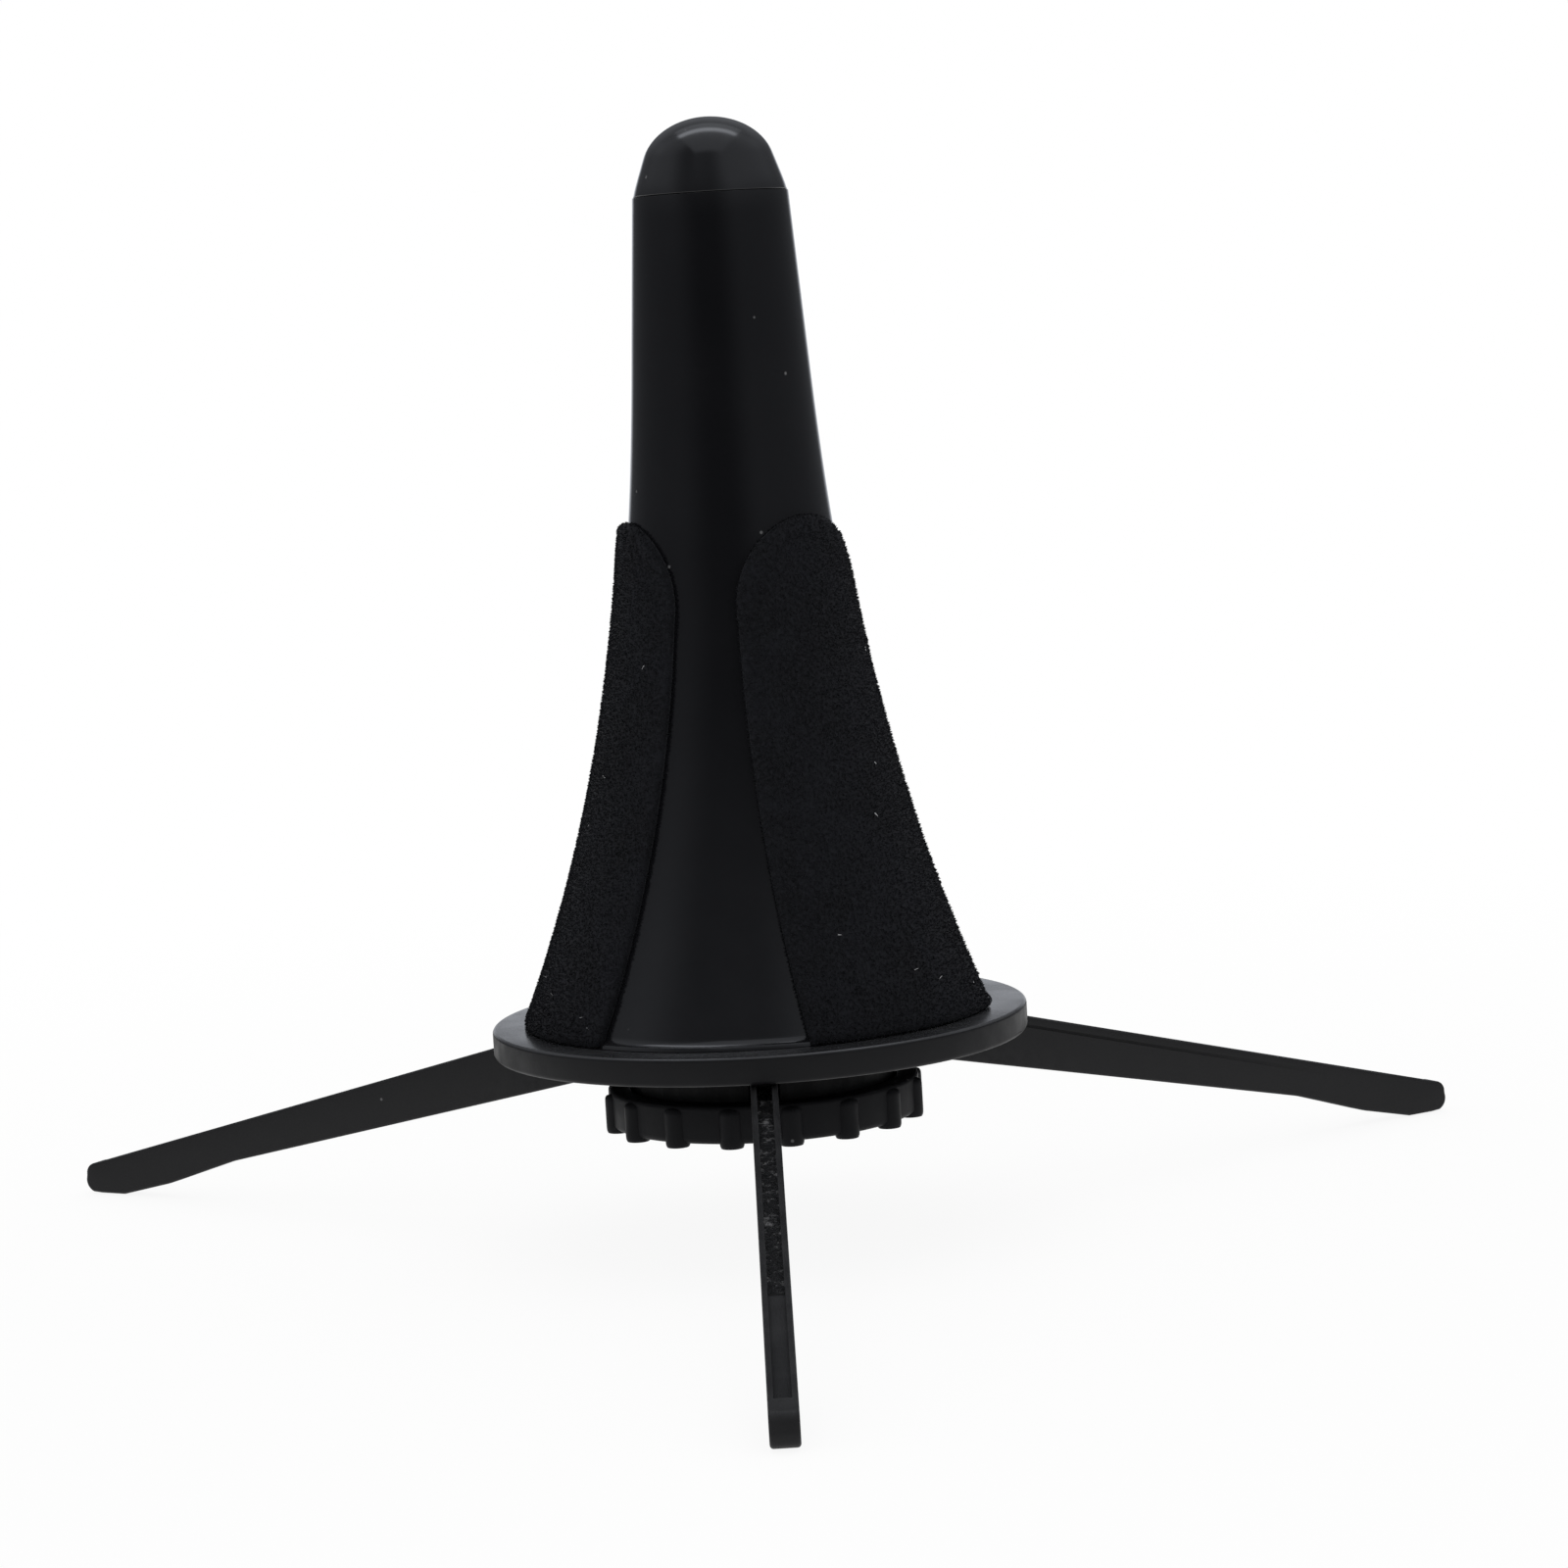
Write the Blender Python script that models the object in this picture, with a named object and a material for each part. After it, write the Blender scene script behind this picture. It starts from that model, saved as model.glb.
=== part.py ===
"""Clarinet stand: a hollow peg with three velvet pads on a round flange, over three legs that fold.

Blender 4.5. Run with: blender --background --python part.py
Units are metres, +Z is up and the floor is at z = 0. The front leg points along -Y.
The knob under the flange pulls the peg down on the leg carrier. The flange then holds the three legs out.
With the peg lifted off, the legs fold up, and they are stored inside the peg.
"""
import math

import bmesh
import bpy
from mathutils import Matrix, Vector

# Fits
RUNNING_GAP = 0.0003
SEAM_GAP = 0.0003
LEG_ROOT_PLAY = 0.00035
CARRIER_PLATE_GAP = 0.0008
KNOB_CARRIER_GAP = 0.0004

# Legs
LEG_COUNT = 3
LEG_REACH = 0.1128
LEG_THICKNESS = 0.0034
LEG_ROOT_DEPTH = 0.0062
LEG_RIM_DEPTH = 0.0074
LEG_KINK_DEPTH = 0.0053
LEG_TOE_TOP = 0.0043
FOOT_LENGTH = 0.0258
HEEL_FROM_TOE = 0.0145
HEEL_LIFT = 0.0018
SOLE_FROM_TOE = 0.0068
SOLE_LENGTH = 0.0040
LEG_EDGE_ROUND = 0.0004
NOSE_RADIUS = 0.0018
TOE_EDGE_RADIUS = 0.0016
CHANNEL_WIDTH = 0.0019
CHANNEL_DEPTH = 0.0021
CHANNEL_START = 0.0290
PIVOT_RADIUS = 0.0130
PIVOT_HEIGHT = 0.02395
PIN_RADIUS = 0.0012
PIN_LENGTH = 0.0130

# Leg carrier
CARRIER_RADIUS = 0.0170
CARRIER_CHAMFER = 0.0006
CARRIER_FLOOR = 0.0020
SLOT_INNER_RADIUS = 0.0085
CARRIER_RECESS_RADIUS = 0.0072
CARRIER_RECESS_DEPTH = 0.0026
CARRIER_COUNTERBORE_RADIUS = 0.0055
CARRIER_COUNTERBORE_DEPTH = 0.0018
PIP_RADIUS = 0.0011
PIP_LENGTH = 0.0016

# Flange under the peg
FLANGE_RADIUS = 0.0350
FLANGE_RIM_HEIGHT = 0.0036
FLANGE_RIM_WALL = 0.0016
FLANGE_PLATE = 0.0018
FLANGE_EDGE_ROUND = 0.0005
FLANGE_OPENING_RADIUS = 0.0180
LOCATING_RING_HEIGHT = 0.0018
LOCATING_RING_WALL = 0.0015
WEB_WIDTH = 0.0060
WEB_HEIGHT = 0.0042
BOSS_RADIUS = 0.0059
BOSS_HEIGHT = 0.0091
INSERT_RADIUS = 0.0042
INSERT_HEAD_RADIUS = 0.0054
INSERT_HEAD_THICKNESS = 0.0010
INSERT_FLUTES = 16
FLUTE_DEPTH = 0.00025

# Peg
PEG_HEIGHT = 0.1064
PEG_TOP_RADIUS = 0.01005
PEG_TAPER = 0.066
PEG_FLARE = 0.0125
PEG_FLARE_HEIGHT = 0.0850
PEG_FLARE_POWER = 2.5
PEG_WALL = 0.0020
PLINTH_HEIGHT = 0.0010
PLINTH_RADIUS = 0.0302
PLINTH_RECESS = 0.0003
SCREW_BOSS_RADIUS = 0.0027
SCREW_BOSS_HEIGHT = 0.0130
SCREW_CIRCLE_RADIUS = 0.0220

# Dome on the peg
DOME_CURVE_RADIUS = 0.0086
DOME_CURVE_HEIGHT = 0.0067
DOME_CURVE_DROP = 0.0050
DOME_HEIGHT = 0.0099
DOME_WALL = 0.0016
DOME_INNER_SHARE = 0.8
SPIGOT_LENGTH = 0.0050
SPIGOT_CHAMFER = 0.0005

# Velvet pads
PAD_THICKNESS = 0.00125
PAD_FOOT_GAP = 0.0003
PAD_FOOT_HALF_WIDTH = 0.0176
PAD_HALF_WIDTH = 0.0120
PAD_STRAIGHT_HEIGHT = 0.0520
PAD_ARCH_HEIGHT = 0.0130
PAD_EDGE_SHARE = 0.55
PAD_FIRST_AZIMUTH = math.radians(45.5)

# Knob and clamp screw
KNOB_RADIUS = 0.0203
KNOB_RIM_DROP = 0.0005
KNOB_FLOOR = 0.00315
KNOB_BOTTOM_ROUND = 0.0008
KNOB_TOP_ROUND = 0.0005
KNOB_RIM_GAP = 0.0005
KNOB_BOSS_GAP = 0.0003
KNOB_RIBS = 16
KNOB_RIB_RADIUS = 0.0016
KNOB_RIB_PROUD = 0.0008
KNOB_RIB_FOOT_STEP = 0.0001
KNOB_RIB_HEAD_STEP = 0.0004
KNOB_FIRST_RIB = math.radians(9.3)
WASHER_THICKNESS = 0.0006
HEX_ACROSS_FLATS = 0.0090
HEX_HEIGHT = 0.0030
HEX_RECESS = 0.0004
SCREW_RADIUS = 0.0029
SCREW_CORE_RADIUS = 0.0023
SCREW_TIP_ABOVE_INSERT = 0.0008
SCREW_TIP_CHAMFER = 0.0006
THREAD_PITCH = 0.0015
THREAD_HALF_SHARE = 0.42
THREAD_ROOT_SINK = 0.0002
THREAD_CREST_STEP = 0.00006
THREAD_STEPS = 12
CLIP_THICKNESS = 0.0007
CLIP_RADIUS = 0.0048
CLIP_GROOVE_RADIUS = 0.0021
CLIP_OPENING = math.radians(70)

# Small screws
SMALL_SCREW_RADIUS = 0.00125
SMALL_SCREW_HEAD_RADIUS = 0.0026
SMALL_SCREW_HEAD_HEIGHT = 0.0014
SMALL_SCREW_REACH = 0.0090
SMALL_SCREW_POINT = 0.0010
SMALL_SCREW_TIP_RADIUS = 0.0003
SMALL_SCREW_BORE_SPARE = 0.0005
CROSS_WIDTH = 0.0007
CROSS_LENGTH = 0.0032
CROSS_DEPTH = 0.0007

# Facets round each size of turned piece
WIDE_SEGMENTS = 48
KNOB_SEGMENTS = 48
HUB_SEGMENTS = 36
SMALL_SEGMENTS = 20
TINY_SEGMENTS = 14

# Heights, from the leg pivots outward
ROOT_TOP = PIVOT_HEIGHT + LEG_ROOT_DEPTH / 2
ROOT_BOTTOM = PIVOT_HEIGHT - LEG_ROOT_DEPTH / 2
PLATE_BOTTOM = ROOT_TOP + LEG_ROOT_PLAY
PLATE_TOP = PLATE_BOTTOM + FLANGE_PLATE
RIM_BOTTOM = PLATE_TOP - FLANGE_RIM_HEIGHT
SLOT_FLOOR = ROOT_BOTTOM - LEG_ROOT_PLAY
CARRIER_TOP = PLATE_BOTTOM - CARRIER_PLATE_GAP
CARRIER_BOTTOM = SLOT_FLOOR - CARRIER_FLOOR
BOSS_BOTTOM = CARRIER_TOP + RUNNING_GAP
BOSS_TOP = BOSS_BOTTOM + BOSS_HEIGHT
KNOB_FLOOR_TOP = CARRIER_BOTTOM - KNOB_CARRIER_GAP
KNOB_BOTTOM = KNOB_FLOOR_TOP - KNOB_FLOOR
KNOB_RIM_TOP = ROOT_BOTTOM - KNOB_RIM_DROP
WASHER_TOP = CARRIER_BOTTOM + CARRIER_RECESS_DEPTH - RUNNING_GAP
WASHER_BOTTOM = WASHER_TOP - WASHER_THICKNESS
KNOB_BOSS_TOP = WASHER_BOTTOM - RUNNING_GAP
COUNTERBORE_FLOOR = CARRIER_TOP - CARRIER_COUNTERBORE_DEPTH
CLIP_BOTTOM = COUNTERBORE_FLOOR + RUNNING_GAP
INSERT_BOTTOM = BOSS_BOTTOM + RUNNING_GAP
INSERT_SEAT = BOSS_TOP + RUNNING_GAP
INSERT_TOP = INSERT_SEAT + INSERT_HEAD_THICKNESS
SCREW_TIP = INSERT_TOP + SCREW_TIP_ABOVE_INSERT
HEX_BOTTOM = KNOB_BOTTOM + HEX_RECESS
HEX_TOP = HEX_BOTTOM + HEX_HEIGHT
RECESS_FLOOR = PLATE_TOP - PLINTH_RECESS
PEG_BOTTOM = RECESS_FLOOR + RUNNING_GAP
BELL_SEAT_RADIUS = PLINTH_RADIUS + RUNNING_GAP
SEAM_HEIGHT = PLATE_TOP + PEG_HEIGHT

# Bores and the sizes that follow from a neighbour
PIN_BORE_RADIUS = PIN_RADIUS + RUNNING_GAP
SCREW_BORE_RADIUS = SCREW_RADIUS + RUNNING_GAP
SLOT_HALF_WIDTH = LEG_THICKNESS / 2 + RUNNING_GAP
SMALL_SCREW_BORE_RADIUS = SMALL_SCREW_RADIUS + RUNNING_GAP
FRONT_TOE_Y = -LEG_REACH
REAR_TOE_Y = LEG_REACH / 2 + (LEG_THICKNESS / 2 - LEG_EDGE_ROUND) * math.cos(math.radians(30))
AXIS_Y = -(FRONT_TOE_Y + REAR_TOE_Y) / 2

COLORS = {
    "gloss_plastic": ((0.010, 0.010, 0.011, 1.0), 0.12, 0.0),
    "matte_plastic": ((0.020, 0.020, 0.021, 1.0), 0.55, 0.0),
    "velvet": ((0.012, 0.012, 0.013, 1.0), 0.95, 0.0),
    "steel": ((0.55, 0.56, 0.57, 1.0), 0.32, 1.0),
    "brass": ((0.76, 0.57, 0.27, 1.0), 0.30, 1.0),
}


def material(kind):
    """The Principled material of one kind of surface, made once."""
    if kind in bpy.data.materials:
        return bpy.data.materials[kind]
    color, roughness, metallic = COLORS[kind]
    made = bpy.data.materials.new(kind)
    made.use_nodes = True
    shader = made.node_tree.nodes["Principled BSDF"]
    shader.inputs["Base Color"].default_value = color
    shader.inputs["Roughness"].default_value = roughness
    shader.inputs["Metallic"].default_value = metallic
    made.diffuse_color = color
    return made


def empty(name, parent, location=(0, 0, 0), turn=0.0):
    """A place in the assembly that pieces hang from."""
    made = bpy.data.objects.new(name, None)
    made.empty_display_size = 0.01
    made.location = location
    made.rotation_euler = (0, 0, turn)
    made.parent = parent
    bpy.context.collection.objects.link(made)
    return made


def to_object(mesh, name, parent, kind, location=(0, 0, 0), turn=0.0):
    """A named piece from a bmesh, shaded smooth apart from its sharp edges."""
    bmesh.ops.recalc_face_normals(mesh, faces=mesh.faces)
    data = bpy.data.meshes.new(name)
    mesh.to_mesh(data)
    mesh.free()
    data.shade_smooth()
    data.set_sharp_from_angle(angle=math.radians(35))
    made = bpy.data.objects.new(name, data)
    made.parent = parent
    made.location = location
    made.rotation_euler = (0, 0, turn)
    bpy.context.collection.objects.link(made)
    if kind:
        data.materials.append(material(kind))
    else:
        made.hide_render = True
        made.display_type = "WIRE"
    return made


def combine(piece, tool, operation):
    """Cuts a piece by a tool, or joins the tool to it."""
    step = piece.modifiers.new(tool.name, "BOOLEAN")
    step.operation = operation
    step.solver = "EXACT"
    step.object = tool


def turned(profile, segments):
    """Solid turned about Z from a closed outline of (radius, height) points."""
    mesh = bmesh.new()
    points = [mesh.verts.new((radius, 0, height)) for radius, height in profile]
    edges = [mesh.edges.new(pair) for pair in zip(points, points[1:])]
    if profile[0][0] > 0 and profile[-1][0] > 0:
        edges.append(mesh.edges.new((points[-1], points[0])))
    bmesh.ops.spin(mesh, geom=points + edges, axis=(0, 0, 1), cent=(0, 0, 0), angle=math.tau,
                   steps=segments, use_merge=True)
    bmesh.ops.remove_doubles(mesh, verts=mesh.verts, dist=1e-6)
    return mesh


def cylinder(radius, low, high, segments=SMALL_SEGMENTS, x=0.0, y=0.0):
    """Upright cylinder between two heights."""
    mesh = bmesh.new()
    place = Matrix.Translation((x, y, (low + high) / 2))
    bmesh.ops.create_cone(mesh, cap_ends=True, segments=segments, radius1=radius, radius2=radius,
                          depth=high - low, matrix=place)
    return mesh


def box(low, high):
    """Box between two corners."""
    mesh = bmesh.new()
    size = Vector(high) - Vector(low)
    middle = (Vector(high) + Vector(low)) / 2
    bmesh.ops.create_cube(mesh, size=1.0, matrix=Matrix.Translation(middle) @ Matrix.Diagonal((*size, 1)))
    return mesh


def extruded(outline, thickness):
    """Plate with an (x, z) outline, centred on y = 0."""
    mesh = bmesh.new()
    points = [mesh.verts.new((x, -thickness / 2, z)) for x, z in outline]
    face = mesh.faces.new(points)
    grown = bmesh.ops.extrude_face_region(mesh, geom=[face])["geom"]
    moved = [item for item in grown if isinstance(item, bmesh.types.BMVert)]
    bmesh.ops.translate(mesh, verts=moved, vec=(0, thickness, 0))
    return mesh


def repeated(mesh, count, first=0.0):
    """Copies of a shape round Z, in one mesh."""
    source = mesh.copy()
    bmesh.ops.rotate(mesh, verts=mesh.verts, cent=(0, 0, 0), matrix=Matrix.Rotation(first, 3, "Z"))
    for index in range(1, count):
        angle = first + math.tau * index / count
        data = bpy.data.meshes.new("copy")
        source.to_mesh(data)
        data.transform(Matrix.Rotation(angle, 4, "Z"))
        mesh.from_mesh(data)
        bpy.data.meshes.remove(data)
    source.free()
    return mesh


def arc(middle, radius, start, end, steps):
    """Points of an arc, in degrees from the first axis."""
    points = []
    for index in range(steps + 1):
        angle = math.radians(start + (end - start) * index / steps)
        points.append((middle[0] + radius * math.cos(angle), middle[1] + radius * math.sin(angle)))
    return points


def leg_azimuth(index):
    """Turn about Z that takes +X to a leg's direction; the first leg points along -Y."""
    return -math.pi / 2 + math.tau * index / LEG_COUNT


def between_azimuth(index):
    """Turn about Z to the middle of the space after a leg."""
    return leg_azimuth(index) + math.pi / LEG_COUNT


def peg_radius(height):
    """Radius of the bare cone at a height over the flange."""
    flare = max(0.0, 1 - height / PEG_FLARE_HEIGHT) ** PEG_FLARE_POWER
    return PEG_TOP_RADIUS + PEG_TAPER * (PEG_HEIGHT - height) + PEG_FLARE * flare


def leg_top_line():
    """Where the leg's straight top edge starts at its root, passes the rim and ends at the toe."""
    rim_radius = FLANGE_RADIUS - FLANGE_RIM_WALL
    rim_height = RIM_BOTTOM - RUNNING_GAP
    toe_radius = LEG_REACH - NOSE_RADIUS
    slope = (rim_height - LEG_TOE_TOP) / (toe_radius - rim_radius)
    bend_radius = rim_radius - (ROOT_TOP - rim_height) / slope
    return slope, bend_radius, toe_radius


def leg_top(radius):
    """Height of the leg's straight top edge."""
    slope, _, toe_radius = leg_top_line()
    return LEG_TOE_TOP + slope * (toe_radius - radius)


def leg_outline():
    """Side view of a leg, as (distance from the pivot, height over the pivot)."""
    slope, bend_radius, toe_radius = leg_top_line()
    kink_radius = LEG_REACH - FOOT_LENGTH
    kink_height = leg_top(kink_radius) - LEG_KINK_DEPTH
    rim_bottom = leg_top(FLANGE_RADIUS) - LEG_RIM_DEPTH
    under_slope = (rim_bottom - kink_height) / (kink_radius - FLANGE_RADIUS)
    under_bend = FLANGE_RADIUS - (ROOT_BOTTOM - rim_bottom) / under_slope
    sole_start = LEG_REACH - SOLE_FROM_TOE
    points = [(bend_radius, ROOT_TOP)]
    eye = arc((PIVOT_RADIUS, PIVOT_HEIGHT), LEG_ROOT_DEPTH / 2, 90, 270, 8)
    points += eye
    points += [(under_bend, ROOT_BOTTOM), (kink_radius, kink_height)]
    points += [(LEG_REACH - HEEL_FROM_TOE, HEEL_LIFT), (sole_start, 0.0), (sole_start + SOLE_LENGTH, 0.0)]
    points += arc((LEG_REACH - NOSE_RADIUS, NOSE_RADIUS), NOSE_RADIUS, -70, 20, 4)
    points += arc((toe_radius, LEG_TOE_TOP - TOE_EDGE_RADIUS), TOE_EDGE_RADIUS, 15, 90, 3)
    return [(radius - PIVOT_RADIUS, height - PIVOT_HEIGHT) for radius, height in points]


def channel_outline():
    """Side view of the channel cut in the top edge of a leg."""
    end_radius = LEG_REACH - FOOT_LENGTH
    start = CHANNEL_START - PIVOT_RADIUS
    end = end_radius - PIVOT_RADIUS
    low_start = leg_top(CHANNEL_START) - PIVOT_HEIGHT - CHANNEL_DEPTH
    low_end = leg_top(end_radius) - PIVOT_HEIGHT - CHANNEL_DEPTH
    run_out = CHANNEL_DEPTH * 2.0
    fall = (low_start - low_end) / (end - start)
    over = CHANNEL_DEPTH * 1.5
    return [(start, low_start), (end - run_out, low_end + run_out * fall),
            (end, low_end + over), (start, low_start + over + CHANNEL_DEPTH)]


def build_legs(stand):
    """Three folding legs, each with its origin on its hinge pin, and the pins."""
    for index, place in enumerate(("front", "right", "left")):
        turn = leg_azimuth(index)
        at = (PIVOT_RADIUS * math.cos(turn), PIVOT_RADIUS * math.sin(turn), PIVOT_HEIGHT)
        hinge = empty("hinge_" + place, stand, at, turn)
        leg = to_object(extruded(leg_outline(), LEG_THICKNESS), "leg_" + place, hinge, "matte_plastic")
        edges = leg.modifiers.new("edges", "BEVEL")
        edges.width = LEG_EDGE_ROUND
        edges.segments = 1
        edges.limit_method = "ANGLE"
        edges.angle_limit = math.radians(50)
        channel = to_object(extruded(channel_outline(), CHANNEL_WIDTH), "cut_channel_" + place, hinge, None)
        combine(leg, channel, "DIFFERENCE")
        bore = cylinder(PIN_BORE_RADIUS, -LEG_THICKNESS, LEG_THICKNESS, TINY_SEGMENTS)
        bore.transform(Matrix.Rotation(math.pi / 2, 4, "X"))
        combine(leg, to_object(bore, "cut_eye_" + place, hinge, None), "DIFFERENCE")
        pin = cylinder(PIN_RADIUS, -PIN_LENGTH / 2, PIN_LENGTH / 2, TINY_SEGMENTS)
        pin.transform(Matrix.Rotation(math.pi / 2, 4, "X"))
        to_object(pin, "leg_pin_" + place, hinge, "steel")


def build_carrier(stand):
    """Slotted hub that holds the roots of the legs."""
    recess_top = CARRIER_BOTTOM + CARRIER_RECESS_DEPTH
    profile = [
        (SCREW_BORE_RADIUS, recess_top), (CARRIER_RECESS_RADIUS, recess_top),
        (CARRIER_RECESS_RADIUS, CARRIER_BOTTOM), (CARRIER_RADIUS - CARRIER_CHAMFER, CARRIER_BOTTOM),
        (CARRIER_RADIUS, CARRIER_BOTTOM + CARRIER_CHAMFER),
        (CARRIER_RADIUS, CARRIER_TOP - CARRIER_CHAMFER), (CARRIER_RADIUS - CARRIER_CHAMFER, CARRIER_TOP),
        (CARRIER_COUNTERBORE_RADIUS, CARRIER_TOP), (CARRIER_COUNTERBORE_RADIUS, COUNTERBORE_FLOOR),
        (SCREW_BORE_RADIUS, COUNTERBORE_FLOOR)]
    carrier = to_object(turned(profile, HUB_SEGMENTS), "leg_carrier", stand, "matte_plastic")
    slot = box((SLOT_INNER_RADIUS, -SLOT_HALF_WIDTH, SLOT_FLOOR),
               (CARRIER_RADIUS * 1.2, SLOT_HALF_WIDTH, CARRIER_TOP + LEG_ROOT_DEPTH))
    slots = to_object(repeated(slot, LEG_COUNT, leg_azimuth(0)), "cut_slots", stand, None)
    combine(carrier, slots, "DIFFERENCE")
    bore = cylinder(PIN_BORE_RADIUS, -PIN_LENGTH / 2 - RUNNING_GAP, CARRIER_RADIUS, TINY_SEGMENTS)
    bore.transform(Matrix.Rotation(-math.pi / 2, 4, "X"))
    bore.transform(Matrix.Translation((PIVOT_RADIUS, 0, PIVOT_HEIGHT)))
    bores = to_object(repeated(bore, LEG_COUNT, leg_azimuth(0)), "cut_pin_bores", stand, None)
    combine(carrier, bores, "DIFFERENCE")
    hole = cylinder(PIP_RADIUS + RUNNING_GAP, CARRIER_TOP - PIP_LENGTH - RUNNING_GAP, PLATE_BOTTOM,
                    TINY_SEGMENTS, x=PIVOT_RADIUS)
    holes = to_object(repeated(hole, LEG_COUNT, between_azimuth(0)), "cut_pip_holes", stand, None)
    combine(carrier, holes, "DIFFERENCE")


def build_knob(knob):
    """Ribbed knob with its clamp screw, washer and clip, all turning about Z."""
    rim_inner = CARRIER_RADIUS + KNOB_RIM_GAP
    boss_radius = CARRIER_RECESS_RADIUS - KNOB_BOSS_GAP
    top = KNOB_RIM_TOP
    profile = [(SCREW_BORE_RADIUS, KNOB_BOTTOM)]
    low_round = (KNOB_RADIUS - KNOB_BOTTOM_ROUND, KNOB_BOTTOM + KNOB_BOTTOM_ROUND)
    profile += arc(low_round, KNOB_BOTTOM_ROUND, -90, 0, 4)
    profile += arc((KNOB_RADIUS - KNOB_TOP_ROUND, top - KNOB_TOP_ROUND), KNOB_TOP_ROUND, 0, 90, 2)
    profile += [(rim_inner, top), (rim_inner, KNOB_FLOOR_TOP), (boss_radius, KNOB_FLOOR_TOP),
                (boss_radius, KNOB_BOSS_TOP), (SCREW_BORE_RADIUS, KNOB_BOSS_TOP)]
    body = to_object(turned(profile, KNOB_SEGMENTS), "clamp_knob", knob, "matte_plastic")
    rib_middle = KNOB_RADIUS + KNOB_RIB_PROUD - KNOB_RIB_RADIUS
    rib = cylinder(KNOB_RIB_RADIUS, KNOB_BOTTOM + KNOB_RIB_FOOT_STEP, top - KNOB_RIB_HEAD_STEP, 12,
                   x=rib_middle)
    ribs = to_object(repeated(rib, KNOB_RIBS, KNOB_FIRST_RIB), "add_ribs", knob, None)
    combine(body, ribs, "UNION")
    hex_gap = RUNNING_GAP / math.cos(math.radians(30))
    hex_radius = HEX_ACROSS_FLATS / 2 / math.cos(math.radians(30))
    pocket = cylinder(hex_radius + hex_gap, KNOB_BOTTOM - RUNNING_GAP, HEX_TOP + RUNNING_GAP, 6)
    combine(body, to_object(pocket, "cut_hex_pocket", knob, None), "DIFFERENCE")
    build_clamp_screw(knob, hex_radius)
    washer = [(SCREW_BORE_RADIUS, WASHER_BOTTOM), (boss_radius - RUNNING_GAP, WASHER_BOTTOM),
              (boss_radius - RUNNING_GAP, WASHER_TOP), (SCREW_BORE_RADIUS, WASHER_TOP)]
    to_object(turned(washer, SMALL_SEGMENTS), "thrust_washer", knob, "steel")
    build_clip(knob)


def thread_ridge(low, high):
    """Triangular ridge that winds up the screw's core, closed at both ends."""
    mesh = bmesh.new()
    turns = (high - low - THREAD_PITCH) / THREAD_PITCH
    steps = int(turns * THREAD_STEPS)
    root = SCREW_CORE_RADIUS - THREAD_ROOT_SINK
    crest = SCREW_RADIUS - THREAD_CREST_STEP
    half = THREAD_PITCH * THREAD_HALF_SHARE
    previous = None
    for step in range(steps + 1):
        angle = math.tau * (step + 0.5) / THREAD_STEPS
        middle = low + THREAD_PITCH / 2 + THREAD_PITCH * step / THREAD_STEPS
        ring = []
        for radius, height in ((root, middle - half), (crest, middle), (root, middle + half)):
            ring.append(mesh.verts.new((radius * math.cos(angle), radius * math.sin(angle), height)))
        if previous is None:
            mesh.faces.new(ring)
        else:
            for index in range(3):
                following = (index + 1) % 3
                mesh.faces.new((previous[index], previous[following], ring[following], ring[index]))
        previous = ring
    mesh.faces.new(previous[::-1])
    return mesh


def build_clamp_screw(knob, hex_radius):
    """Hex headed screw with a clip groove and a real helical thread."""
    thread_start = BOSS_BOTTOM - THREAD_PITCH / 2
    groove_low = CLIP_BOTTOM - RUNNING_GAP
    groove_high = CLIP_BOTTOM + CLIP_THICKNESS + RUNNING_GAP
    core = SCREW_CORE_RADIUS
    in_head = (HEX_BOTTOM + HEX_TOP) / 2
    profile = [(0, in_head), (SCREW_RADIUS, in_head), (SCREW_RADIUS, groove_low),
               (CLIP_GROOVE_RADIUS, groove_low), (CLIP_GROOVE_RADIUS, groove_high),
               (SCREW_RADIUS, groove_high), (SCREW_RADIUS, thread_start),
               (core, thread_start + SCREW_RADIUS - core), (core, SCREW_TIP - SCREW_TIP_CHAMFER),
               (core - SCREW_TIP_CHAMFER, SCREW_TIP), (0, SCREW_TIP)]
    screw = to_object(turned(profile, THREAD_STEPS), "clamp_screw", knob, "steel")
    head = to_object(cylinder(hex_radius, HEX_BOTTOM, HEX_TOP, 6), "add_hex_head", knob, None)
    combine(screw, head, "UNION")
    ridge = thread_ridge(thread_start - THREAD_PITCH * 0.6, SCREW_TIP - THREAD_PITCH * 2 / 3)
    combine(screw, to_object(ridge, "add_thread", knob, None), "UNION")


def build_clip(knob):
    """Open ring in the screw's groove, which keeps the knob on the carrier."""
    inner = CLIP_GROOVE_RADIUS + RUNNING_GAP
    start = math.degrees(CLIP_OPENING / 2)
    outline = arc((0, 0), CLIP_RADIUS, start, 360 - start, 16)
    outline += arc((0, 0), inner, 360 - start, start, 16)
    mesh = bmesh.new()
    face = mesh.faces.new([mesh.verts.new((x, y, CLIP_BOTTOM)) for x, y in outline])
    grown = bmesh.ops.extrude_face_region(mesh, geom=[face])["geom"]
    moved = [item for item in grown if isinstance(item, bmesh.types.BMVert)]
    bmesh.ops.translate(mesh, verts=moved, vec=(0, 0, CLIP_THICKNESS))
    to_object(mesh, "retaining_clip", knob, "steel")


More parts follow.
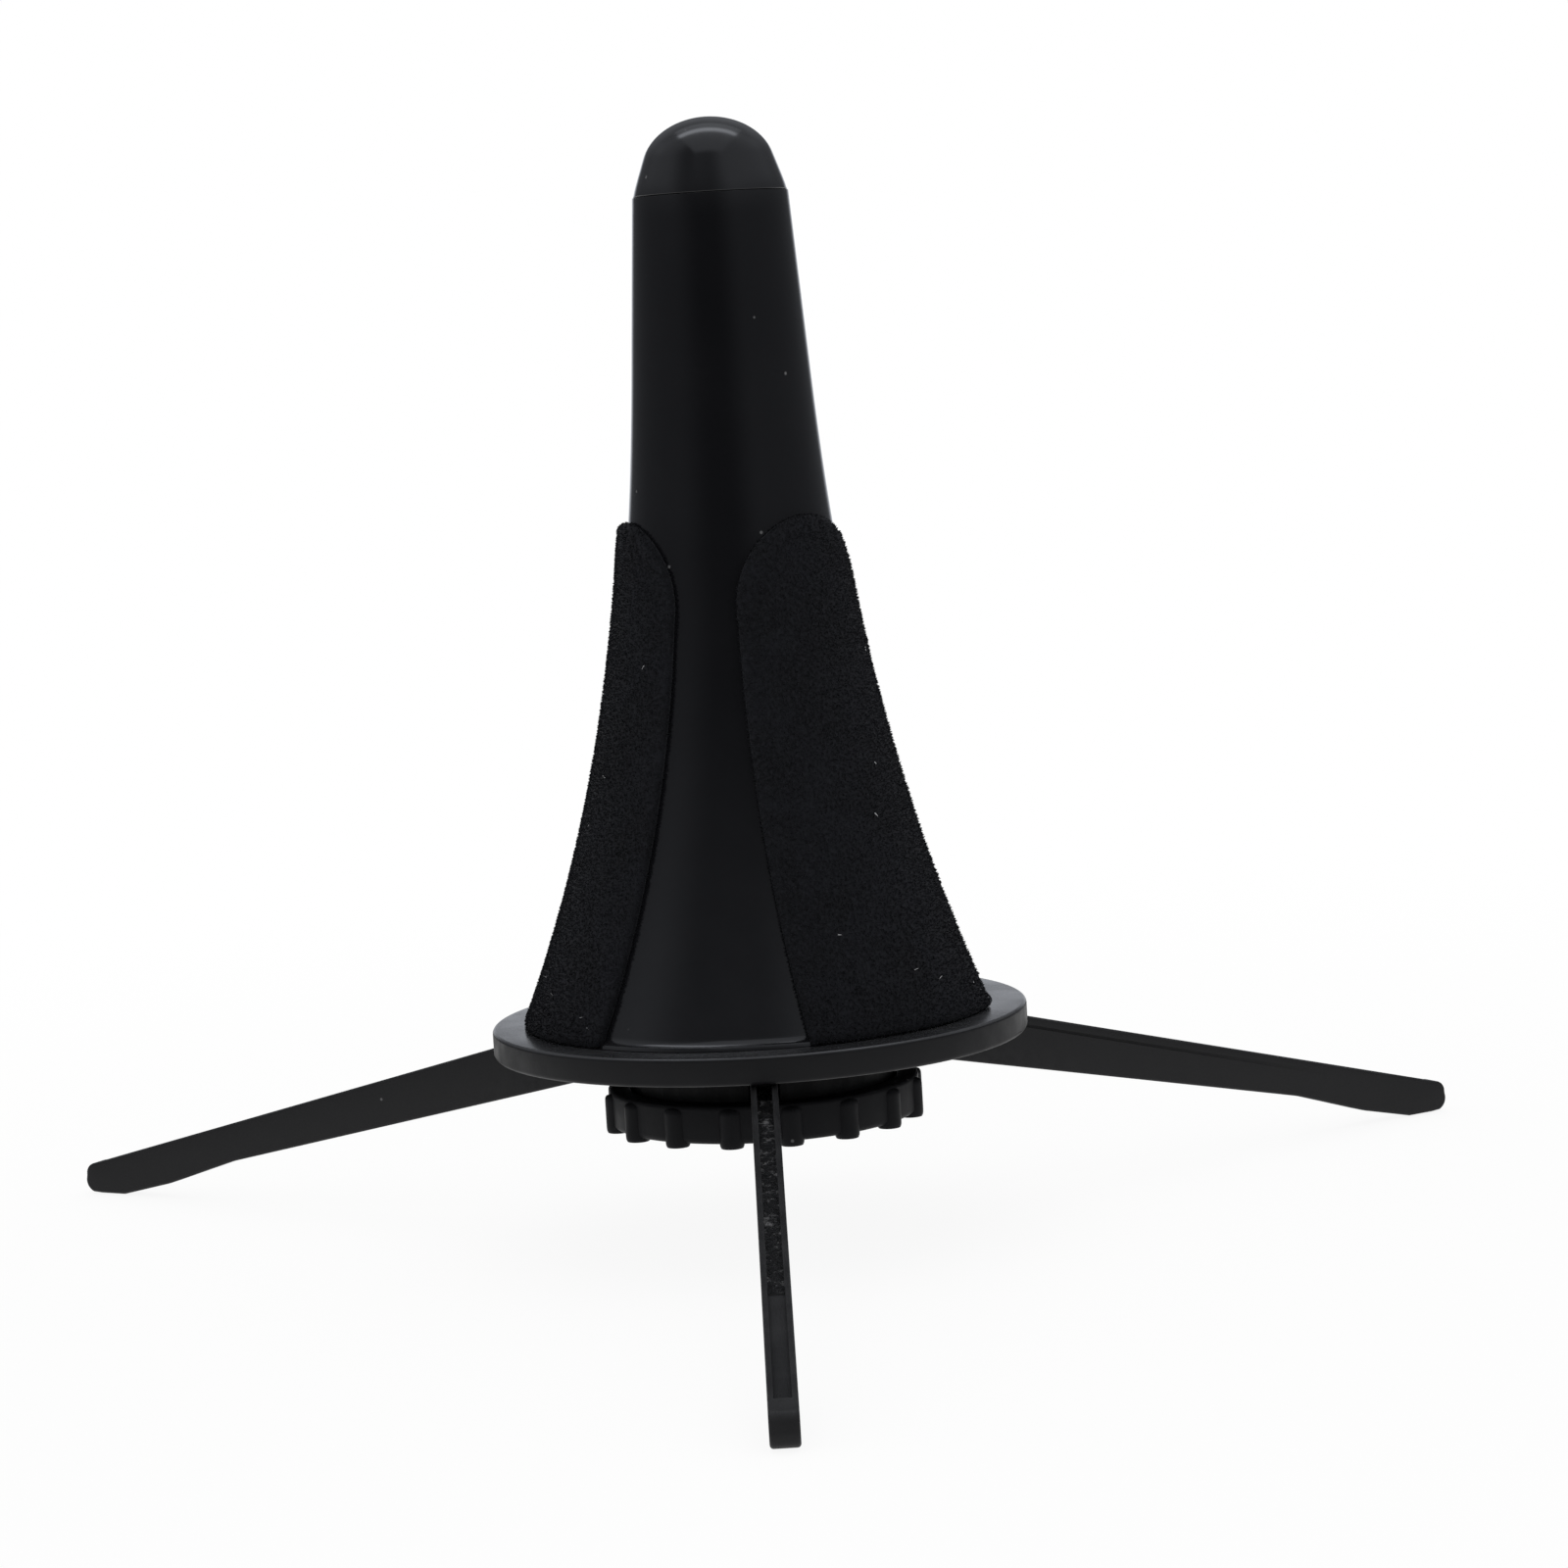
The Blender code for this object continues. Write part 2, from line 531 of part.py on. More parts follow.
def build_flange(peg):
    """Disc with a downturned rim, a locating ring, three webs and the boss for the insert."""
    edge = FLANGE_EDGE_ROUND
    ring_outer = peg_radius(LOCATING_RING_HEIGHT) - PEG_WALL - RUNNING_GAP
    ring_inner = ring_outer - LOCATING_RING_WALL
    ring_top = PLATE_TOP + LOCATING_RING_HEIGHT
    profile = [(FLANGE_OPENING_RADIUS, PLATE_BOTTOM), (FLANGE_RADIUS - FLANGE_RIM_WALL, PLATE_BOTTOM),
               (FLANGE_RADIUS - FLANGE_RIM_WALL, RIM_BOTTOM)]
    profile += arc((FLANGE_RADIUS - edge, RIM_BOTTOM + edge), edge, -90, 0, 2)
    profile += arc((FLANGE_RADIUS - edge, PLATE_TOP - edge), edge, 0, 90, 2)
    profile += [(BELL_SEAT_RADIUS, PLATE_TOP), (BELL_SEAT_RADIUS, RECESS_FLOOR), (ring_outer, RECESS_FLOOR),
                (ring_outer, ring_top), (ring_inner, ring_top), (ring_inner, RECESS_FLOOR),
                (FLANGE_OPENING_RADIUS, RECESS_FLOOR)]
    flange = to_object(turned(profile, WIDE_SEGMENTS), "base_flange", peg, "matte_plastic")
    first = between_azimuth(0)
    web = box((INSERT_RADIUS, -WEB_WIDTH / 2, BOSS_BOTTOM),
              (FLANGE_OPENING_RADIUS + FLANGE_EDGE_ROUND, WEB_WIDTH / 2, BOSS_BOTTOM + WEB_HEIGHT))
    combine(flange, to_object(repeated(web, LEG_COUNT, first), "add_webs", peg, None), "UNION")
    boss = to_object(cylinder(BOSS_RADIUS, BOSS_BOTTOM, BOSS_TOP, 28), "add_boss", peg, None)
    combine(flange, boss, "UNION")
    pip = cylinder(PIP_RADIUS, CARRIER_TOP - PIP_LENGTH, BOSS_BOTTOM + WEB_HEIGHT / 2, TINY_SEGMENTS,
                   x=PIVOT_RADIUS)
    combine(flange, to_object(repeated(pip, LEG_COUNT, first), "add_pips", peg, None), "UNION")
    bore = cylinder(INSERT_RADIUS + RUNNING_GAP, BOSS_BOTTOM - RUNNING_GAP, BOSS_TOP + RUNNING_GAP, 24)
    combine(flange, to_object(bore, "cut_insert_bore", peg, None), "DIFFERENCE")
    hole = cylinder(SMALL_SCREW_BORE_RADIUS, RIM_BOTTOM, PEG_BOTTOM, TINY_SEGMENTS, x=SCREW_CIRCLE_RADIUS)
    holes = to_object(repeated(hole, LEG_COUNT, first), "cut_flange_holes", peg, None)
    combine(flange, holes, "DIFFERENCE")


def build_insert(peg):
    """Fluted brass nut whose head sits on the flange's boss."""
    mesh = bmesh.new()
    count = INSERT_FLUTES * 2
    rings = []
    for height in (INSERT_BOTTOM, INSERT_SEAT):
        ring = []
        for index in range(count):
            radius = INSERT_RADIUS - FLUTE_DEPTH * (index % 2)
            angle = math.tau * index / count
            ring.append(mesh.verts.new((radius * math.cos(angle), radius * math.sin(angle), height)))
        rings.append(ring)
    for index in range(count):
        following = (index + 1) % count
        mesh.faces.new((rings[0][index], rings[0][following], rings[1][following], rings[1][index]))
    mesh.faces.new(rings[0][::-1])
    mesh.faces.new(rings[1])
    insert = to_object(mesh, "thread_insert", peg, "brass")
    head = cylinder(INSERT_HEAD_RADIUS, INSERT_SEAT, INSERT_TOP, 24)
    combine(insert, to_object(head, "add_insert_head", peg, None), "UNION")
    bore = cylinder(SCREW_BORE_RADIUS, INSERT_BOTTOM - RUNNING_GAP, INSERT_TOP + RUNNING_GAP, SMALL_SEGMENTS)
    combine(insert, to_object(bore, "cut_insert_thread", peg, None), "DIFFERENCE")


def build_shell(peg):
    """Hollow flared cone with a plinth at its foot and three screw bosses inside."""
    outer = [(PLINTH_RADIUS, PEG_BOTTOM), (PLINTH_RADIUS, PLATE_TOP + PLINTH_HEIGHT)]
    rows = 17
    top = PEG_HEIGHT - SEAM_GAP / 2
    for index in range(rows):
        share = (index / (rows - 1)) ** 1.35
        height = PLINTH_HEIGHT + (top - PLINTH_HEIGHT) * share
        outer.append((peg_radius(height), PLATE_TOP + height))
    inner_rows = 7
    inner = []
    foot = PEG_BOTTOM - PLATE_TOP
    for index in range(inner_rows):
        share = 1 - (index / (inner_rows - 1))
        height = foot + (top - foot) * share ** 1.35
        inner.append((peg_radius(height) - PEG_WALL, PLATE_TOP + height))
    shell = to_object(turned(outer + inner, WIDE_SEGMENTS), "peg_shell", peg, "gloss_plastic")
    first = between_azimuth(0)
    boss = cylinder(SCREW_BOSS_RADIUS, PEG_BOTTOM, PLATE_TOP + SCREW_BOSS_HEIGHT, TINY_SEGMENTS,
                    x=SCREW_CIRCLE_RADIUS)
    combine(shell, to_object(repeated(boss, LEG_COUNT, first), "add_screw_bosses", peg, None), "UNION")
    bore_end = PEG_BOTTOM + SMALL_SCREW_REACH + SMALL_SCREW_BORE_SPARE
    bore = cylinder(SMALL_SCREW_BORE_RADIUS, RECESS_FLOOR, bore_end, TINY_SEGMENTS, x=SCREW_CIRCLE_RADIUS)
    combine(shell, to_object(repeated(bore, LEG_COUNT, first), "cut_screw_bores", peg, None), "DIFFERENCE")


def build_flange_screws(peg):
    """Three pan head screws that hold the cone on the flange from below."""
    head_top = PLATE_BOTTOM - RUNNING_GAP
    head_bottom = head_top - SMALL_SCREW_HEAD_HEIGHT
    tip = PEG_BOTTOM + SMALL_SCREW_REACH
    round_off = SMALL_SCREW_HEAD_HEIGHT * 0.4
    profile = [(0, head_bottom), (SMALL_SCREW_HEAD_RADIUS - round_off, head_bottom),
               (SMALL_SCREW_HEAD_RADIUS, head_bottom + round_off), (SMALL_SCREW_HEAD_RADIUS, head_top),
               (SMALL_SCREW_RADIUS, head_top), (SMALL_SCREW_RADIUS, tip - SMALL_SCREW_POINT),
               (SMALL_SCREW_TIP_RADIUS, tip), (0, tip)]
    for index in range(LEG_COUNT):
        turn = between_azimuth(index)
        at = (SCREW_CIRCLE_RADIUS * math.cos(turn), SCREW_CIRCLE_RADIUS * math.sin(turn), 0)
        place = empty("screw_place_%d" % (index + 1), peg, at, turn)
        screw = to_object(turned(profile, TINY_SEGMENTS), "flange_screw_%d" % (index + 1), place, "steel")
        for axis in range(2):
            half = (CROSS_LENGTH / 2, CROSS_WIDTH / 2) if axis == 0 else (CROSS_WIDTH / 2, CROSS_LENGTH / 2)
            slot = box((-half[0], -half[1], head_bottom - CROSS_DEPTH),
                       (half[0], half[1], head_bottom + CROSS_DEPTH))
            name = "cut_cross_%d_%d" % (index + 1, axis)
            combine(screw, to_object(slot, name, place, None), "DIFFERENCE")


def dome_radius(drop):
    """Outer radius of the dome at a distance below its top."""
    curve = min(drop, DOME_CURVE_DROP)
    share = 1 - curve / DOME_CURVE_HEIGHT
    radius = DOME_CURVE_RADIUS * math.sqrt(max(0.0, 1 - share * share))
    if drop <= DOME_CURVE_DROP:
        return radius
    straight = (PEG_TOP_RADIUS - radius) / (DOME_HEIGHT - DOME_CURVE_DROP)
    return radius + straight * (drop - DOME_CURVE_DROP)


def build_dome(peg):
    """Hollow domed cap with a spigot that fits in the top of the cone."""
    top = SEAM_HEIGHT + DOME_HEIGHT
    bottom = SEAM_HEIGHT + SEAM_GAP / 2
    outer = [(0, top)]
    for index in range(1, 8):
        drop = DOME_CURVE_DROP * (index / 7) ** 2
        outer.append((dome_radius(drop), top - drop))
    outer.append((PEG_TOP_RADIUS, bottom))
    spigot_radius = PEG_TOP_RADIUS - PEG_WALL - RUNNING_GAP
    spigot_bottom = SEAM_HEIGHT - SPIGOT_LENGTH
    inner_radius = spigot_radius - DOME_WALL
    outer += [(spigot_radius, bottom), (spigot_radius, spigot_bottom + SPIGOT_CHAMFER),
              (spigot_radius - SPIGOT_CHAMFER, spigot_bottom)]
    inner = [(inner_radius, spigot_bottom)]
    share = inner_radius / dome_radius(DOME_CURVE_DROP)
    for index in range(4, -1, -1):
        drop = DOME_CURVE_DROP * (index / 4) ** 2
        inner.append((dome_radius(drop) * share, top - drop * DOME_INNER_SHARE - DOME_WALL))
    to_object(turned(outer + inner, HUB_SEGMENTS), "dome_cap", peg, "gloss_plastic")


def pad_half_width(height):
    """Half width of a pad, measured round the cone, at a height over the flange."""
    if height <= PAD_STRAIGHT_HEIGHT:
        share = height / PAD_STRAIGHT_HEIGHT
        return PAD_FOOT_HALF_WIDTH + (PAD_HALF_WIDTH - PAD_FOOT_HALF_WIDTH) * share
    share = min(1.0, (height - PAD_STRAIGHT_HEIGHT) / PAD_ARCH_HEIGHT)
    return PAD_HALF_WIDTH * math.sqrt(1 - share * share)


def pad_mesh():
    """Pad wrapped on the flare, arched at its top and thinner round its edge, facing +X."""
    low = PLINTH_HEIGHT + PAD_FOOT_GAP
    straight_rows = 7
    arch_rows = 6
    heights = [low + (PAD_STRAIGHT_HEIGHT - low) * index / straight_rows for index in range(straight_rows)]
    for index in range(arch_rows):
        angle = math.radians(84) * index / (arch_rows - 1)
        heights.append(PAD_STRAIGHT_HEIGHT + PAD_ARCH_HEIGHT * math.sin(angle))
    columns = [-1.0, -0.93, -0.62, -0.31, 0.0, 0.31, 0.62, 0.93, 1.0]
    mesh = bmesh.new()
    skins = []
    for thickness in (0.0, PAD_THICKNESS):
        rows = []
        for row, height in enumerate(heights):
            row_edge = row in (0, len(heights) - 1)
            cone = peg_radius(height) + RUNNING_GAP
            half = pad_half_width(height)
            line = []
            for column, share in enumerate(columns):
                edge = row_edge or column in (0, len(columns) - 1)
                radius = cone + thickness * (PAD_EDGE_SHARE if edge else 1.0)
                angle = share * half / (cone + PAD_THICKNESS / 2)
                point = (radius * math.cos(angle), radius * math.sin(angle), PLATE_TOP + height)
                line.append(mesh.verts.new(point))
            rows.append(line)
        skins.append(rows)
    last_row = len(heights) - 1
    last_column = len(columns) - 1
    for rows in skins:
        for low_line, high_line in zip(rows, rows[1:]):
            for column in range(last_column):
                mesh.faces.new((low_line[column], low_line[column + 1],
                                high_line[column + 1], high_line[column]))
    rim = [(0, column) for column in range(last_column)]
    rim += [(row, last_column) for row in range(last_row)]
    rim += [(last_row, column) for column in range(last_column, 0, -1)]
    rim += [(row, 0) for row in range(last_row, 0, -1)]
    for start, end in zip(rim, rim[1:] + rim[:1]):
        mesh.faces.new((skins[0][start[0]][start[1]], skins[0][end[0]][end[1]],
                        skins[1][end[0]][end[1]], skins[1][start[0]][start[1]]))
    return mesh


def build_pads(peg):
    """Three velvet pads round the flare, with bare cone between them."""
    for index, place in enumerate(("right", "rear", "left")):
        turn = -math.pi / 2 + PAD_FIRST_AZIMUTH + math.tau * index / 3
        to_object(pad_mesh(), "bell_pad_" + place, peg, "velvet", turn=turn)


def main():
    for item in list(bpy.data.objects):
        bpy.data.objects.remove(item, do_unlink=True)
    stand = empty("stand", None, (0, AXIS_Y, 0))
    build_carrier(stand)
    build_legs(stand)
    build_knob(empty("knob_turn", stand))
    peg = empty("peg_lift", stand)
    build_flange(peg)
    build_insert(peg)
    build_shell(peg)
    build_flange_screws(peg)
    build_dome(peg)
    build_pads(peg)


main()
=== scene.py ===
"""Clarinet stand with its finishes: glossy cone and dome, velvet pads, matte flange, knob and legs."""
import math

import bmesh
import bpy
from bpy.props import FloatProperty, FloatVectorProperty, IntProperty, PointerProperty
from mathutils import Matrix, Vector, noise


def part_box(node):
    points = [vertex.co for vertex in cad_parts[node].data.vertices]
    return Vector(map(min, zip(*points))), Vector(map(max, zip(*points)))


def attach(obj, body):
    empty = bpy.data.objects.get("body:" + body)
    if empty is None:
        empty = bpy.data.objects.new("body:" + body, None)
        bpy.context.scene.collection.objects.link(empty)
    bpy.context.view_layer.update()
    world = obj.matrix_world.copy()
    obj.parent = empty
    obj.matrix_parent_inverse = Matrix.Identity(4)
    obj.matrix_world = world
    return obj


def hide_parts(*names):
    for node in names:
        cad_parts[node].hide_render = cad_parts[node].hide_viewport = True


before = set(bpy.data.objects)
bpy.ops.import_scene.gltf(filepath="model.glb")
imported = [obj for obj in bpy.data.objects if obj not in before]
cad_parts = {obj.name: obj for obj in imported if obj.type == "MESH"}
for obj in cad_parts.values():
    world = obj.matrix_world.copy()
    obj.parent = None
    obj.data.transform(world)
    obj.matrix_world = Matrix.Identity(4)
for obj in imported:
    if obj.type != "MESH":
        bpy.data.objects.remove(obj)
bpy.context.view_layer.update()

bl_info = {
    "name": "Clarinet stand",
    "version": (1, 0, 0),
    "blender": (4, 5, 0),
    "location": "View3D > Sidebar > Stand",
    "description": "Dresses the clarinet stand: cone, dome, velvet pads, flange, knob, legs and stage",
    "category": "Object",
}

SHELL_LOW, SHELL_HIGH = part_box("peg_shell")
AXIS = Vector((0.0, (SHELL_LOW.y + SHELL_HIGH.y) / 2, 0.0))
FLANGE_TOP = SHELL_LOW.z
ON_FLANGE = Matrix.Translation(AXIS + Vector((0, 0, FLANGE_TOP)))
KNOB_LOW, KNOB_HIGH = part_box("clamp_knob")
CARRIER_LOW, CARRIER_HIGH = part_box("leg_carrier")
LEG_TURNS = {"front": -90.0, "right": 30.0, "left": 150.0}
PAD_TURNS = {"right": -44.8, "rear": 75.5, "left": 194.2}
WEB_TURNS = (-30.0, 90.0, 210.0)
STEEL_NODES = ("leg_pin_front", "leg_pin_right", "leg_pin_left", "clamp_screw", "thrust_washer",
               "retaining_clip", "flange_screw_1", "flange_screw_2", "flange_screw_3")
CONE_SIZES = ("Height", "Top Radius", "Taper", "Flare", "Flare Height", "Flare Power", "Wall",
              "Plinth Radius", "Plinth Height", "Plinth Lean", "Foot Fillet")
WHITE = (1.0, 1.0, 1.0, 1.0)
DUST = (0.20, 0.20, 0.205, 1.0)
DEGREES = 180 / math.pi
# From the flange's rim down to the legs' top edges, and the radius of their noses
RIM_GAP = 0.0003
NOSE = 0.0018
# The gain keeps the tinted tent as bright as a plain one
TENT_MIDDLE = (0.0, AXIS.y, 0.08)
TENT_TINT = (0.89, 0.925, 1.0, 1.0)
TENT_GAIN = 1.085


def length(about, default):
    """A size in metres."""
    return FloatProperty(description=about, default=default, unit="LENGTH", precision=5)


def number(about, default, kind="NONE"):
    """A plain number or an angle."""
    return FloatProperty(description=about, default=default, subtype=kind)


def color(about, default):
    """A plain linear colour."""
    return FloatVectorProperty(
        description=about, default=default, size=3, subtype="COLOR", min=0.0, max=1.0)


class StandPeg(bpy.types.PropertyGroup):
    """Sizes of the cone and of the dome on it."""
    height: length("Cone, from the flange's top to the seam under the dome", 0.1064)
    top_radius: length("Radius of the cone at the seam", 0.01005)
    taper: number("Radius gained per metre down", 0.066)
    flare: length("Radius that the flare adds at the foot", 0.0125)
    flare_height: length("Where the flare ends over the flange", 0.085)
    flare_power: number("How late the flare opens", 2.5)
    wall: length("Wall thickness of the cone", 0.0020)
    plinth_radius: length("Radius of the ring at the cone's foot", 0.0302)
    plinth_height: length("Height of that ring", 0.00050)
    plinth_lean: length("How far the ring leans in at its top", 0.00026)
    foot_fillet: length("Hollow curve from the cone to its plinth", 0.00050)
    edge_round: length("Rounding of the cone's rims", 0.00018)
    dome_height: length("From the seam to the top", 0.0099)
    dome_radius: length("Half width of the dome's ellipse", 0.0086)
    dome_curve: length("Half height of the dome's ellipse", 0.0067)
    dome_drop: length("Where the ellipse passes into the straight side", 0.0050)
    dome_wall: length("Wall thickness of the dome", 0.0016)
    spigot: length("Length of the dome's plug inside the cone", 0.0050)
    segments: IntProperty(description="Faces round the cone", default=192, min=24)
    rows: IntProperty(description="Rows of faces up each wall", default=72, min=12)


class StandPads(bpy.types.PropertyGroup):
    """Sizes of the velvet pads and of their pile."""
    thickness: length("From the cone to the outside of the pad", 0.00155)
    foot_lift: length("From the flange's top to the foot of the pad", 0.0003)
    skirt: length("How far the foot stands out over the plinth", 0.00045)
    foot_half_width: length("Half width at the foot, round the cone", 0.0176)
    half_width: length("Half width where the arch starts", 0.0120)
    straight_height: length("Where the arch starts over the flange", 0.0520)
    arch_height: length("Height of the arched top", 0.0130)
    edge: length("Width of the rounded edge", 0.0007)
    pile_length: length("Length of a velvet fibre", 0.00027)
    pile_width: length("Thickness of a velvet fibre", 0.00010)
    pile_density: number("Fibres per square metre", 1.15e7)
    lint_density: number("Lint fibres per square metre", 3200.0)


class StandFlange(bpy.types.PropertyGroup):
    """Sizes of the flange, its boss and webs."""
    radius: length("Outer radius of the flange", 0.0350)
    rim_height: length("Height of the downturned rim", 0.0036)
    rim_wall: length("Thickness of the rim", 0.0016)
    plate: length("Thickness of the plate", 0.0018)
    top_round: length("Rounding of the upper edge", 0.0005)
    low_round: length("Rounding of the lower edge", 0.0006)
    opening: length("Radius of the opening for the legs", 0.0180)
    ring_radius: length("Outer radius of the locating ring", 0.0265)
    ring_wall: length("Thickness of the locating ring", 0.0015)
    ring_height: length("Height of the locating ring", 0.0018)
    recess: length("Depth of the recess that takes the cone's foot", 0.0003)
    boss_radius: length("Radius of the boss in the middle", 0.0059)
    bore_radius: length("Radius of the bore for the brass insert", 0.0045)
    boss_height: length("Height of the boss", 0.0091)
    web_width: length("Width of each web", 0.0060)
    web_height: length("Height of each web", 0.0042)


class StandKnob(bpy.types.PropertyGroup):
    """Sizes of the clamp knob."""
    radius: length("Radius between the ribs", 0.0203)
    floor: length("Thickness of the floor", 0.00315)
    low_round: length("Rounding under the ribs", 0.0008)
    top_round: length("Rounding of the upper rim", 0.0005)
    ribs: IntProperty(description="Number of grip ribs", default=16, min=3)
    rib_radius: length("Radius of each rib", 0.0016)
    rib_proud: length("How far a rib stands out", 0.0008)
    rib_foot: length("How far a rib runs down below the edge", 0.0005)
    first_rib: number("Turn of the first rib", math.radians(9.3), "ANGLE")
    hex_width: length("Across the flats of the pocket for the screw's head", 0.0096)


class StandLegs(bpy.types.PropertyGroup):
    """Sizes of the three legs."""
    reach: length("From the stand's axis to the toe", 0.1128)
    thickness: length("Width of the bar seen from above", 0.0034)
    root_depth: length("Height of the bar at its pin", 0.0062)
    rim_depth: length("Height of the bar under the rim", 0.0074)
    kink_depth: length("Height of the bar where the foot starts", 0.0053)
    toe_top: length("Height of the top edge at the toe", 0.0043)
    foot_length: length("From the kink to the toe", 0.0258)
    heel: length("From the heel to the toe", 0.0145)
    heel_lift: length("Height of the heel over the floor", 0.0018)
    sole: length("From the sole's start to the toe", 0.0068)
    sole_length: length("Length of the flat sole", 0.0040)
    edge_round: length("Rounding of the bar's edges", 0.00042)
    channel_width: length("Width of the channel in the top edge", 0.0019)
    channel_depth: length("Depth of that channel", 0.0021)
    channel_start: length("Where the channel starts, from the axis", 0.0290)
    pivot_radius: length("From the axis to the hinge pin", 0.0130)
    pivot_height: length("Height of the hinge pins", 0.02395)
    pin_bore: length("Radius of the hole for the pin", 0.0015)
    foot_channel: length("Depth of the smooth channel in the foot", 0.0010)
    foot_channel_width: length("Width of that channel", 0.0020)
    foot_gap: length("From that channel's end to the toe", 0.0038)
    line_drop: length("From the top edge to the fine line along one side", 0.00135)
    line_width: length("Width of that line", 0.00040)
    line_depth: length("Depth of that line", 0.00035)


class StandFinish(bpy.types.PropertyGroup):
    """Colours of the finishes."""
    gloss: color("Polished black moulding", (0.0049, 0.0050, 0.0060))
    matte: color("Fine satin black moulding", (0.0079, 0.0081, 0.0091))
    # The seat colour is twice the satin moulding's: painted light on the flange's top, over a real smoother
    # finish
    seat: color("Smoother black moulding", (0.0158, 0.0162, 0.0177))
    # The carrier's colour is darker than its real moulding: painted shade under the flange
    carrier: color("Dull black moulding", (0.0046, 0.0047, 0.0051))
    knob: color("Satin black moulding of the knob", (0.0085, 0.0087, 0.0099))
    leg: color("Satin black moulding of the legs", (0.0138, 0.0139, 0.0148))
    velvet: color("Short black pile", (0.0046, 0.0050, 0.0065))
    lint: color("Pale lint on the velvet", (0.62, 0.62, 0.64))
    zinc: color("Zinc plated steel", (0.56, 0.57, 0.58))
    brass: color("Turned brass", (0.78, 0.60, 0.31))
    floor: color("Plain pale floor", (0.88, 0.88, 0.88))


class StandStage(bpy.types.PropertyGroup):
    """Camera and lamps."""
    distance: length("Camera to the stand's axis", 0.5600)
    eye_height: length("Camera over the flange's top", 0.0900)
    lens: number("Focal length in millimetres", 99.17)
    pitch: number("Turn down", math.radians(6.141), "ANGLE")
    roll: number("Turn about the line of sight", math.radians(-3.40), "ANGLE")
    yaw: number("Turn to the right", math.radians(0.51), "ANGLE")
    fill_level: number("Brightness of the fill light", 0.75)
    side_level: number("Brightness of the side softboxes", 0.35)
    top_level: number("Brightness of the top softbox", 0.6)


GROUPS = {
    "stand_peg": StandPeg,
    "stand_pads": StandPads,
    "stand_flange": StandFlange,
    "stand_knob": StandKnob,
    "stand_legs": StandLegs,
    "stand_finish": StandFinish,
    "stand_stage": StandStage,
}


def sizes(name):
    """The property group of one part of the stand."""
    return getattr(bpy.context.scene, "stand_" + name)


# Node building

class Value:
    """A node's output, ready for arithmetic."""

    def __init__(self, net, socket):
        self.net, self.socket = net, socket

    def math(self, operation, *others):
        """A Math node's result, with this value first."""
        return self.net.out("ShaderNodeMath", dict(enumerate((self, *others))), operation=operation)

    def ramp(self, low, high, out_low=0.0, out_high=1.0):
        """This value mapped smoothly from one range to another."""
        return self.net.out("ShaderNodeMapRange", {0: self, 1: low, 2: high, 3: out_low, 4: out_high},
                            interpolation_type="SMOOTHSTEP")

    def between(self, low, high, soft):
        """1 between two limits, with soft ends."""
        return self.ramp(low - soft, low + soft) * self.ramp(high - soft, high + soft, 1.0, 0.0)

    def clipped(self):
        """This value kept from 0 to 1."""
        return self.math("MAXIMUM", 0.0).math("MINIMUM", 1.0)

    def pick(self, no, yes):
        """One value where this one is 0, the other where it is 1."""
        return self * (yes - no) + no

    def __add__(self, other):
        return self.math("ADD", other)

    def __sub__(self, other):
        return self.math("SUBTRACT", other)

    def __rsub__(self, other):
        return self.math("MULTIPLY_ADD", -1.0, other)

    def __mul__(self, other):
        return self.math("MULTIPLY", other)

    def __truediv__(self, other):
        return self.math("DIVIDE", other)

    def __pow__(self, other):
        return self.math("POWER", other)

    def __lt__(self, other):
        return self.math("LESS_THAN", other)

    def __gt__(self, other):
        return self.math("GREATER_THAN", other)


class Net:
    """A node tree in the making."""

    def __init__(self, tree):
        self.tree = tree

    def feed(self, socket, value):
        """Sets an input, or links it to a value."""
        if isinstance(value, Value):
            self.tree.links.new(value.socket, socket)
        else:
            socket.default_value = value

    def add(self, kind, inputs=None, **settings):
        """A node with its settings and its inputs."""
        node = self.tree.nodes.new(kind)
        for name, value in settings.items():
            setattr(node, name, value)
        for key, value in (inputs or {}).items():
            self.feed(node.inputs[key], value)
        return node

    def outs(self, kind, inputs, *outputs, **settings):
        """Some outputs of a new node."""
        node = self.add(kind, inputs, **settings)
        return [Value(self, node.outputs[output]) for output in outputs]

    def out(self, kind, inputs=None, output=0, **settings):
        """One output of a new node."""
        return self.outs(kind, inputs, output, **settings)[0]

    def place(self):
        """Object coordinates."""
        return self.out("ShaderNodeTexCoord", output="Object")

    def split(self, vector):
        """The three parts of a vector."""
        return self.outs("ShaderNodeSeparateXYZ", {0: vector}, 0, 1, 2)

    def join(self, x=0.0, y=0.0, z=0.0):
        """A vector of three parts."""
        return self.out("ShaderNodeCombineXYZ", {0: x, 1: y, 2: z})

    def noise(self, place, scale, detail=2.0, rough=0.5, distortion=0.0):
        """A noise texture's value."""
        return self.out("ShaderNodeTexNoise", {
            "Vector": place, "Scale": scale, "Detail": detail, "Roughness": rough,
            "Distortion": distortion})

    def stretched(self, place, scale, rotation=(0.0, 0.0, 0.0)):
        """Coordinates turned and stretched."""
        return self.out("ShaderNodeMapping", {"Vector": place, "Rotation": rotation, "Scale": scale})

    def mix(self, factor, first, second):
        """A colour between two."""
        return self.out("ShaderNodeMix", {0: factor, 6: first, 7: second}, 2, data_type="RGBA")

    def blend(self, factor, first, second):
        """A shader between two."""
        return self.out("ShaderNodeMixShader", {0: factor, 1: first, 2: second})

    def group(self, tree, *values):
        """All outputs of a group node, with its inputs in order."""
        node = self.add("ShaderNodeGroup", dict(enumerate(values)), node_tree=tree)
        return [Value(self, socket) for socket in node.outputs]

    def coated(self, geometry, material):
        """Real geometry in one material."""
        real = self.out("GeometryNodeRealizeInstances", {"Geometry": geometry})
        return self.out("GeometryNodeSetMaterial", {"Geometry": real, "Material": material})


